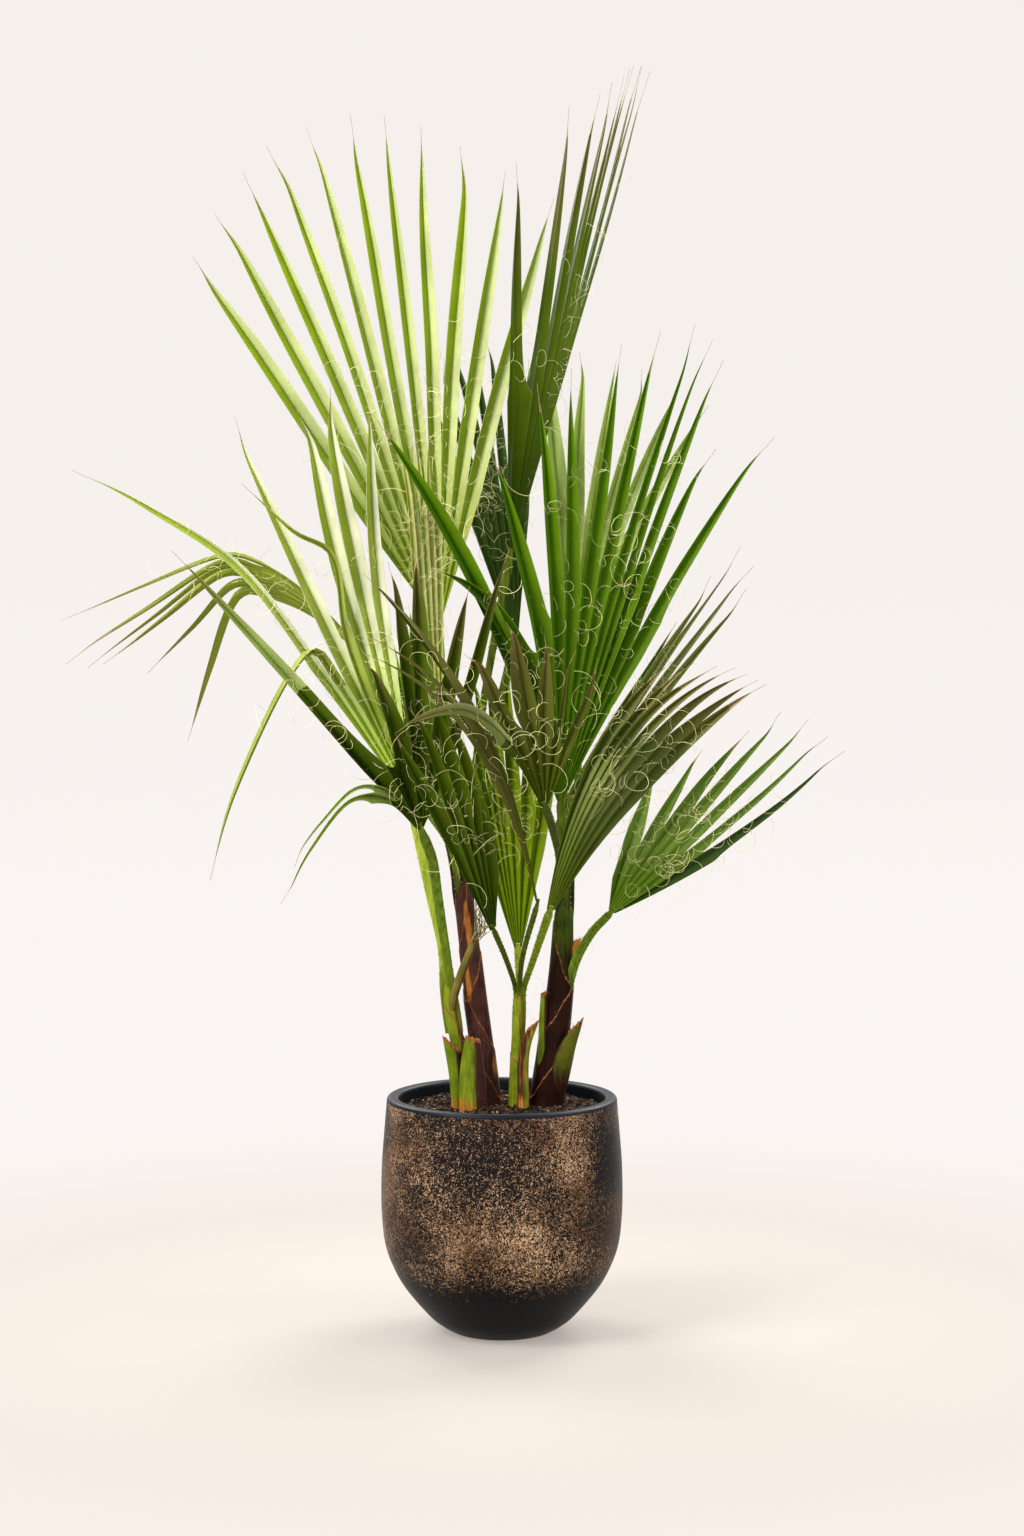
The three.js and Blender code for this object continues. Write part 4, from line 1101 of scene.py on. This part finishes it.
def frond_places(name, spec, settings):
    """The rib of each segment, and how far its left and right edges and its rounding stand off it."""
    rng = np.random.default_rng(settings.seed * 1000 + sum(map(ord, name)))
    rows, count = settings.rows, spec["count"]
    shares = np.linspace(0, 1, rows + 1)
    line, way, side = frond_lines(spec, shares, rng)
    face = np.cross(side, way)
    gaps = np.linalg.norm(np.diff(line, axis=0), axis=2) / 2
    joins = spec.get("splits", [spec["joined"]] * (count - 1))
    splits = [int(round(rows * np.clip(join + rng.normal(0, STRAY), 0.1, 0.8))) for join in joins]
    end = rng.uniform(0.955, 0.975, count)
    fold = settings.fold * (1 + 0.4 * shares) * spec.get("fold", 1)
    slim = spec.get("slim", [1] * count)
    least = 0.38 - 0.16 * shares

    def edge(i, gap, sign):
        """One edge of segment i, on the side of a gap, or on the frond's own side where gap is None."""
        near = gaps[gap] if gap is not None else np.minimum(gaps[min(i, count - 2)], spec["width"])
        row = splits[gap] if gap is not None else int(rows * spec["joined"])
        beyond = np.clip(shares - shares[row], 0, 1)
        taper = 1 - np.clip(beyond / (end[i] - shares[row]), 0, 1) ** spec["full"]
        body = min(spec["width"], near[row]) * slim[i]
        free = (body + (near[row] - body) * np.exp(-beyond / 0.045)) * taper
        width = np.where(beyond == 0, near, np.maximum(free, least))
        own = line[i] + side[i] * (sign * width)[:, None] + face[i] * (fold * width)[:, None]
        if gap is None:
            return own, width
        crest = unit(face[gap] + face[gap + 1]) * (fold * gaps[gap])[:, None]
        shared = (line[gap] + line[gap + 1]) / 2 + crest
        slip = (shared[row] - own[row]) * np.exp(-beyond / 0.05)[:, None]
        return np.where((beyond == 0)[:, None], shared, own + slip), width

    ribs, lefts, rights, rounds = [], [], [], []
    for i in range(count):
        left, left_width = edge(i, i - 1 if i > 0 else None, -1)
        right, right_width = edge(i, i if i < count - 1 else None, 1)
        width = (left_width + right_width)[:, None] / 2
        rib = line[i] - face[i] * fold[:, None] * width
        ribs.append(rib)
        lefts.append(left - rib)
        rights.append(right - rib)
        rounds.append(face[i] * width * settings.bulge)
    dry = (shares > (end - spec["dry"] * rng.uniform(0.5, 1.5, count))[:, None]).astype(float)
    return {"ribs": np.array(ribs), "left": np.array(lefts), "right": np.array(rights),
            "rounding": np.array(rounds), "dry": dry, "face": face}


def blade_tree():
    """Nodes that spread each segment between its edges, join the segments where their edges meet, give the
    blade its thickness and deal out the finishes."""
    skins = ("Shade", "Light", "Tip", "Second shade", "Second light")
    tree, add, given = new_tree(
        "pleated_blade", Int=["Segments", "Rows", "Half"], Float=["Thickness", "Dry from"], Material=skins)
    index = add("InputIndex")[0]
    stations = add("IntegerMath ADD", (given["Rows"], 1))[0]
    last = add("IntegerMath MULTIPLY", (given["Half"], 2))[0]
    columns = add("IntegerMath ADD", (last, 1))[0]
    breadth = add("IntegerMath MULTIPLY", (given["Segments"], columns))[0]
    sheet = add("MeshGrid", {"Vertices X": breadth, "Vertices Y": stations})[0]
    spots = {}
    for kind, length in (("point", stations), ("face", given["Rows"])):
        strip = add("IntegerMath DIVIDE_FLOOR", (index, length))[0]
        row = add("IntegerMath MODULO", (index, length))[0]
        column = add("IntegerMath MODULO", (strip, columns))[0]
        segment = add("IntegerMath DIVIDE_FLOOR", (strip, columns))[0]
        seat = add("IntegerMath MULTIPLY_ADD", (segment, stations, row))[0]
        spots[kind] = (row, column, segment, seat)

    row, column, segment, seat = spots["point"]
    found = {}
    for value in ("position", "left", "right", "rounding"):
        field = add("InputNamedAttribute", {"Name": value}, **VECTOR)[0]
        found[value] = add("SampleIndex", {
            "Geometry": given["Geometry"], "Value": field, "Index": seat}, **VECTOR)[0]
    from_rib = add("IntegerMath SUBTRACT", (column, given["Half"]))[0]
    share = add("Math DIVIDE", (add("IntegerMath ABSOLUTE", (from_rib,))[0], given["Half"]))[0]
    on_right = add("Compare GREATER_EQUAL", {2: column, 3: given["Half"]}, data_type="INT")[0]
    toward = add("Switch", (on_right, found["left"], found["right"]), input_type="VECTOR")[0]
    hump = add("Math SINE", (add("Math MULTIPLY", (share, math.pi))[0],))[0]
    rounded = add("VectorMath SCALE", {0: found["rounding"], "Scale": hump})[0]
    spread = add("VectorMath SCALE", {0: toward, "Scale": share})[0]
    place = add("VectorMath ADD", (add("VectorMath ADD", (found["position"], spread))[0], rounded))[0]
    shaped = add("SetPosition", {"Geometry": sheet, "Position": place})[0]

    along_blade = add("Math DIVIDE", (row, given["Rows"]))[0]
    across_blade = add("Math ADD", (add("Math DIVIDE", (column, last))[0], segment))[0]
    dryness = add("MapRange", (along_blade, given["Dry from"], 1.0))[0]
    where = add("CombineXYZ", (across_blade, along_blade, dryness))[0]
    mapped = add("StoreNamedAttribute", {
        "Geometry": shaped, "Name": "blade", "Value": where}, **VECTOR, domain="POINT")[0]

    row, column, segment, seat = spots["face"]
    for value in ("dry", "tint"):
        field = add("InputNamedAttribute", {"Name": value}, data_type="FLOAT")[0]
        found[value] = add("SampleIndex", {
            "Geometry": given["Geometry"], "Value": field, "Index": seat}, data_type="FLOAT")[0]
    # The half of a segment right of its rib takes the copy with painted light, the left half the copy with
    # painted shade
    lit = add("Compare GREATER_EQUAL", {2: column, 3: given["Half"]}, data_type="INT")[0]
    living = add("Math MULTIPLY_ADD", (found["tint"], skins.index("Second shade"), lit))[0]
    is_dry = add("Compare GREATER_THAN", (found["dry"], 0.5), data_type="FLOAT")[0]
    skin = add("Switch", (is_dry, living, skins.index("Tip")), input_type="INT")[0]
    marked = add("StoreNamedAttribute", {
        "Geometry": mapped, "Name": "skin", "Value": skin}, data_type="INT", domain="FACE")[0]
    between = add("Compare EQUAL", {2: column, 3: last}, data_type="INT")[0]
    strips = add("DeleteGeometry", {"Geometry": marked, "Selection": between}, domain="FACE")[0]
    joined = add("MergeByDistance", {"Geometry": strips, "Distance": CLOSE})[0]

    up = add("SeparateXYZ", (add("InputNamedAttribute", {"Name": "blade"}, **VECTOR)[0],))["Y"]
    thinning = add("MapRange", {0: up, 3: 1.0, 4: 0.5})[0]
    tapered = add("Math MULTIPLY", (given["Thickness"], thinning))[0]
    raised = add("ExtrudeMesh", {
        "Mesh": joined, "Offset Scale": tapered, "Individual": False}, mode="FACES")[0]
    under = add("FlipFaces", {"Mesh": joined})[0]
    both = add("JoinGeometry", {"Geometry": [raised, under]})[0]
    closed = add("MergeByDistance", {"Geometry": both, "Distance": CLOSE})[0]
    done = add("RealizeInstances", {"Geometry": closed})[0]
    number = add("InputNamedAttribute", {"Name": "skin"}, data_type="INT")[0]
    for n, name in enumerate(skins):
        chosen = add("Compare EQUAL", {2: number, 3: n}, data_type="INT")[0]
        done = add("SetMaterial", {"Geometry": done, "Material": given[name], "Selection": chosen})[0]
    add("NodeGroupOutput", {"Geometry": done})
    return tree


class PALM_OT_fronds(bpy.types.Operator):
    """Build each frond as one pleated blade that splits into folded, pointed segments"""
    bl_idname = "palm.fronds"
    bl_label = "Fronds"

    def execute(self, context):
        settings = context.scene.palm_leaf
        tip = plain_finish("dry_leaf_tip", "8A7A4A", 0.7)
        finishes = {}
        for kind, (shade, light, through, keep) in LEAVES.items():
            paler = [min(1.25 * c + 0.04, 0.85) for c in linear(light)]
            finishes[kind] = []
            # Each kind gets two copies of the leaf finish: one with painted shade for the half away from the
            # light, one with painted light for the half towards it
            for half, colour, vein, hub in (
                    ("shade", linear(shade), linear(light), "shade"),
                    ("light", linear(light), paler, "pale" if kind == "pale" else "light")):
                base = [c * keep for c in HUB_TINTS[hub]] + [1]
                finishes[kind].append(leaf_finish("%s_leaf_%s" % (kind, half), colour, vein, through, base))
        tree = blade_tree()
        for name, spec in FRONDS.items():
            places = frond_places(name, spec, settings)
            tints = np.zeros(places["dry"].shape)
            for segment, start in spec.get("tints", {}).items():
                tints[segment, int(start * settings.rows):] = 1
            seeds = mesh_piece(name + "_ribs", places["ribs"].reshape(-1, 3), [], values={
                **{key: places[key].reshape(-1, 3) * MM for key in ("left", "right", "rounding")},
                "dry": places["dry"].ravel(), "tint": tints.ravel()})
            first, second = finishes[spec["finish"]], finishes[spec.get("second", spec["finish"])]
            blade = grown("blade_" + name, seeds, tree, {
                "Segments": spec["count"], "Rows": settings.rows, "Half": settings.half,
                "Thickness": settings.thickness, "Dry from": spec.get("brown", 0.86), "Tip": tip,
                "Shade": first[0], "Light": first[1], "Second shade": second[0], "Second light": second[1]})
            finish_piece(blade, "leaf", "frond_" + name)
        return {"FINISHED"}


# Threads
def curl_tree():
    """Nodes that set curled threads on points, each lying near the face direction stored there."""
    tree, add, given = new_tree(
        "leaf_threads", Float=["Radius", "Shortest", "Longest"], Int=["Seed"], Material=["Material"])
    ring = add("CurvePrimitiveCircle", {"Resolution": 3, "Radius": given["Radius"]})[0]
    factor = add("SplineParameter")["Factor"]
    slender = add("MapRange", {0: factor, 3: 1.0, 4: 0.45})[0]
    kinds = []
    # Turns of each curl, radii at its start and end and its height in millimetres
    shapes = ((0.3, 36, 30, 4), (0.5, 22, 28, 5), (0.4, 28, 16, 8), (0.8, 16, 21, 8), (1.3, 11, 15, 8),
              (0.65, 28, 14, 10), (0.55, 18, 26, 12), (0.3, 40, 32, 3), (0.3, 46, 26, 6), (0.95, 13, 18, 6))
    for turns, start, end, height in shapes:
        spiral = add("CurveSpiral", {
            "Resolution": int(24 / turns), "Rotations": turns, "Start Radius": start * MM,
            "End Radius": end * MM, "Height": height * MM})[0]
        rooted = add("Transform", {"Geometry": spiral, "Translation": (-start * MM, 0, 0)})[0]
        noise = add("TexNoise", {"Scale": 14 + 8 * turns, "Detail": 0})
        push = add("VectorMath SUBTRACT", (noise["Color"], (0.5, 0.5, 0.5)))[0]
        grow = add("Math MULTIPLY", (factor, 20 * MM))[0]
        offset = add("VectorMath SCALE", {0: push, "Scale": grow})[0]
        bent = add("SetPosition", {"Geometry": rooted, "Offset": offset})[0]
        thread = add("CurveToMesh", {
            "Curve": bent, "Profile Curve": ring, "Scale": slender, "Fill Caps": True})[0]
        kinds.append(add("GeometryToInstance", {"Geometry": thread})[0])
    picks = add("JoinGeometry", {"Geometry": kinds})[0]
    facing = add("InputNamedAttribute", {"Name": "facing"}, **VECTOR)[0]
    aligned = add("AlignRotationToVector", {"Vector": facing}, axis="Z")[0]
    seed, lean = given["Seed"], 0.8
    least, most = (-lean, -lean, 0.0), (lean, lean, FULL_TURN)
    spin = add("RandomValue", {0: least, 1: most, "Seed": seed}, **VECTOR)[0]
    turned_by = add("EulerToRotation", (spin,))[0]
    rotation = add("RotateRotation", (aligned, turned_by), rotation_space="LOCAL")[0]
    low, high = given["Shortest"], given["Longest"]
    size = add("RandomValue", {2: low, 3: high, "Seed": seed}, data_type="FLOAT")[1]
    pick = add("RandomValue", {4: 0, 5: len(shapes) - 1, "Seed": seed}, data_type="INT")[2]
    hung = add("InstanceOnPoints", {
        "Points": given["Geometry"], "Instance": picks, "Pick Instance": True, "Instance Index": pick,
        "Rotation": rotation, "Scale": size})[0]
    solid = add("RealizeInstances", {"Geometry": hung})[0]
    done = add("SetMaterial", {"Geometry": solid, "Material": given["Material"]})[0]
    add("NodeGroupOutput", {"Geometry": done})
    return tree


class PALM_OT_threads(bpy.types.Operator):
    """Hang curled pale threads on the margins of the segments"""
    bl_idname = "palm.threads"
    bl_label = "Threads"

    def execute(self, context):
        settings = context.scene.palm_thread
        leaf = context.scene.palm_leaf
        tree = curl_tree()
        finish = plain_finish("pale_leaf_thread", "DCD498", 0.6)
        groups = {"threads_left": [], "threads_middle": [], "threads_right": []}
        for name, spec in FRONDS.items():
            places = frond_places(name, spec, leaf)
            rng = np.random.default_rng(settings.seed * 77 + sum(map(ord, name)))
            hub_x = at(spec["hub"])[0]
            group = "threads_left" if hub_x < -60 else "threads_middle" if hub_x < 50 else "threads_right"
            for _ in range(spec["threads"]):
                i = int(rng.integers(0, spec["count"]))
                share = rng.normal(spec["joined"] + THREADS_BEYOND, THREADS_SPREAD)
                r = int(round(float(np.clip(share, THREADS_FROM, THREADS_TO)) * leaf.rows))
                edge = places["left" if rng.random() < 0.5 else "right"][i, r]
                if spec.get("slim", [1] * spec["count"])[i] > 0.5:
                    groups[group].append((places["ribs"][i, r] + edge, places["face"][i, r]))
        for name, hung in groups.items():
            hang(name, hung, tree, "leaf", {
                "Radius": settings.radius, "Shortest": settings.shortest, "Longest": settings.longest,
                "Seed": settings.seed + len(hung), "Material": finish})
        return {"FINISHED"}


class PALM_OT_fibres(bpy.types.Operator):
    """Fray brown fibres from the torn leaf bases and sheath edges, and lay some on the soil"""
    bl_idname = "palm.fibres"
    bl_label = "Fibres"

    def execute(self, context):
        settings = context.scene.palm_thread
        rng = np.random.default_rng(settings.seed + 5)
        on_base, on_edge, on_soil = FIBRES
        hung = []
        for spec in BOOTS.values():
            top, way = at(spec["places"][-1]), unit(at(spec["places"][-1]) - at(spec["places"][-2]))
            for turn in rng.uniform(0, 2 * math.pi, on_base):
                out = np.array((math.cos(turn), math.sin(turn) * BOOT_FLATNESS, 0))
                hung.append((top + out * spec["radii"][1] * 0.85 - way * 2, np.cross(out, way)))
        for spec in STEMS.values():
            path = stem_path(spec)
            low, high = spec["radii"]
            for z, tilt, facing, _ in spec["sheaths"]:
                for turn in rng.uniform(0, 2 * math.pi, on_edge):
                    height = z + tilt * math.cos(turn - math.radians(facing))
                    share = (height - path[0, 2]) / (path[-1, 2] - path[0, 2])
                    radius = low + (high - low) * share
                    out = np.array((-math.cos(turn), math.sin(turn), 0))
                    hung.append((along(path, share)[0] + out * radius, np.cross(out, (0, 0, 1))))
        for _ in range(on_soil):
            turn, reach = rng.uniform(0, 2 * math.pi), rng.uniform(20, 116)
            hung.append((np.array((math.cos(turn) * reach, math.sin(turn) * reach, SOIL_SHOWN + 2)),
                         np.array((0.0, 0.0, 1.0))))
        hang("sheath_fibres", hung, curl_tree(), "leaf_base", {
            "Radius": 0.6 * settings.radius, "Shortest": 0.12, "Longest": 0.5, "Seed": settings.seed,
            "Material": plain_finish("brown_sheath_fibre", "6E4A2C", 0.7)})
        self.torn_net(rng)
        return {"FINISHED"}

    def torn_net(self, rng):
        """The stalk behind low_left has withered, and its torn edge still hangs on that fan as a net"""
        stub = at(BOOTS["boot_dry"]["places"][-1])
        low, high = at(NET[0]), at(NET[1])
        spans = []
        for share in np.linspace(0, 1, NET_STRANDS):
            spans.append((stub + rng.uniform(-4, 4, 3), low + (high - low) * share + rng.uniform(-2, 2, 3)))
        for start, end in spans[::3]:
            across = spans[int(rng.integers(0, NET_STRANDS))][1]
            spans.append((start + (end - start) * 0.45, start + (across - start) * 0.75))
        points, faces = [], []
        turns = np.linspace(0, 2 * math.pi, 6, endpoint=False)[None, :]
        for start, end in spans:
            knee = (start + end) / 2 + rng.uniform(-9, 9, 3)
            _, middle, _, wide, thin = limb_frames(bow(start, knee, end), 12)
            radius = np.full((1, 1), rng.uniform(0.4, 0.8))
            rings = rings_round(middle, wide, thin, radius, np.cos(turns), np.sin(turns))
            made, around = tube(rings[:, ::-1])
            faces += [tuple(i + len(points) for i in f) for f in around]
            points += made.tolist()
        finish = plain_finish("withered_sheath_strand", "887C44", 0.7)
        net = mesh_piece("torn_sheath_net", np.array(points), faces, [finish], smooth=60)
        finish_piece(net, "leaf_base")


# Stage
class PALM_OT_stage(bpy.types.Operator):
    """Set the pale floor, the soft studio light and the camera"""
    bl_idname = "palm.stage"
    bl_label = "Stage"

    def execute(self, context):
        settings = context.scene.palm_stage
        scene = context.scene
        scene.view_settings.view_transform = "Standard"
        sides, reach = 96, 2600
        angles = np.linspace(0, 2 * math.pi, sides, endpoint=False)
        disc = np.stack([np.cos(angles), np.sin(angles), 0 * angles], axis=1) * reach
        floor = mesh_piece("floor", disc, [range(len(disc))])
        made, add = material("pale_matt_floor")
        place = add("TexCoord")["Object"]
        far = add("VectorMath LENGTH", (place,))["Value"]
        fade = add("MapRange", (far, 0.45, 1.7), interpolation_type="SMOOTHERSTEP")
        own = add("MapRange", (far, 0.25, 0.8, 0.36, 1.0), **SMOOTH)[0]
        matt = add("BsdfDiffuse", {"Color": [0.37 * c for c in linear(settings.floor)]})
        glow = add("Emission", {"Color": linear(settings.floor)})
        lit = add("MixShader", (own, matt[0], glow[0]))
        clear = add("BsdfTransparent")
        both = add("MixShader", (fade[0], lit[0], clear[0]))
        add("OutputMaterial", (both[0],))
        floor.data.materials.append(made)

        world = bpy.data.worlds.new("studio")
        world.use_nodes = True
        world.node_tree.nodes.clear()
        add_sky = partial(node, world.node_tree)
        way = add_sky("SeparateXYZ", (add_sky("TexCoord")["Generated"],))
        climb = add_sky("MapRange", (way["Z"], -0.2, 0.06), **SMOOTH)[0]
        tone = add_sky("Mix", {0: climb, 6: linear(settings.low), 7: linear(settings.high)}, **RGBA)[2]
        seen = add_sky("Background", {"Color": tone, "Strength": 1.0})
        beside = add_sky("Math ABSOLUTE", (way["X"],))[0]
        flagged = add_sky("MapRange", (beside, 0.45, 0.95, 0.9, 0.3), **SMOOTH)[0]
        soft = add_sky("Background", {"Color": (1.0, 0.985, 0.96, 1.0), "Strength": flagged})
        eye = add_sky("LightPath")["Is Camera Ray"]
        mix = add_sky("MixShader", (eye, soft[0], seen[0]))
        add_sky("OutputWorld", (mix[0],))
        scene.world = world

        # Place of each lamp in metres, its share of the key light's power, and its size
        lamps = (("key", (-2.3, -1.9, 2.9), 1.0, 1.7), ("side", (2.9, -1.0, 2.0), 0.4, 2.2),
                 ("back_right", (1.6, 2.1, 2.7), 0.8, 1.9), ("back_left", (-1.5, 2.3, 2.8), 0.7, 1.9))
        for name, spot, share, size in lamps:
            lamp = bpy.data.lights.new(name, "AREA")
            lamp.energy, lamp.size = settings.key * share, size
            lamp.color = (1.0, 0.985, 0.97)
            held = bpy.data.objects.new(name, lamp)
            held.location = spot
            aim = np.array((0, 0, MIDDLE)) - np.array(spot)
            held.rotation_euler = (math.acos(-aim[2] / np.linalg.norm(aim)), 0, math.atan2(-aim[0], aim[1]))
            scene.collection.objects.link(held)

        camera = bpy.data.cameras.new("camera")
        camera.sensor_width, camera.lens = 36, LENS
        camera.clip_end = 100
        viewer = bpy.data.objects.new("camera", camera)
        viewer.location = [c * MM for c in EYE]
        viewer.rotation_euler = (math.radians(90 - EYE_PITCH), 0, 0)
        scene.collection.objects.link(viewer)
        scene.camera = viewer
        return {"FINISHED"}


OPERATORS = (PALM_OT_pot, PALM_OT_soil, PALM_OT_stems, PALM_OT_leaf_bases, PALM_OT_petioles, PALM_OT_fronds,
             PALM_OT_threads, PALM_OT_fibres, PALM_OT_stage)


class PALM_PT_panel(bpy.types.Panel):
    """Lists the steps that dress the palm"""
    bl_idname = "PALM_PT_panel"
    bl_label = "Potted fan palm"
    bl_space_type = "VIEW_3D"
    bl_region_type = "UI"
    bl_category = "Palm"

    def draw(self, context):
        for operator in OPERATORS:
            self.layout.operator(operator.bl_idname)
        for name in SETTINGS:
            settings = getattr(context.scene, name)
            for key in settings.__annotations__:
                self.layout.prop(settings, key)


def register():
    for kind in (*SETTINGS.values(), *OPERATORS, PALM_PT_panel):
        bpy.utils.register_class(kind)
    for name, kind in SETTINGS.items():
        setattr(bpy.types.Scene, name, bpy.props.PointerProperty(type=kind))


def unregister():
    for name in SETTINGS:
        delattr(bpy.types.Scene, name)
    for kind in (PALM_PT_panel, *OPERATORS[::-1], *list(SETTINGS.values())[::-1]):
        bpy.utils.unregister_class(kind)


def main():
    register()
    for operator in OPERATORS:
        group, name = operator.bl_idname.split(".")
        getattr(getattr(bpy.ops, group), name)()


if __name__ == "__main__":
    main()
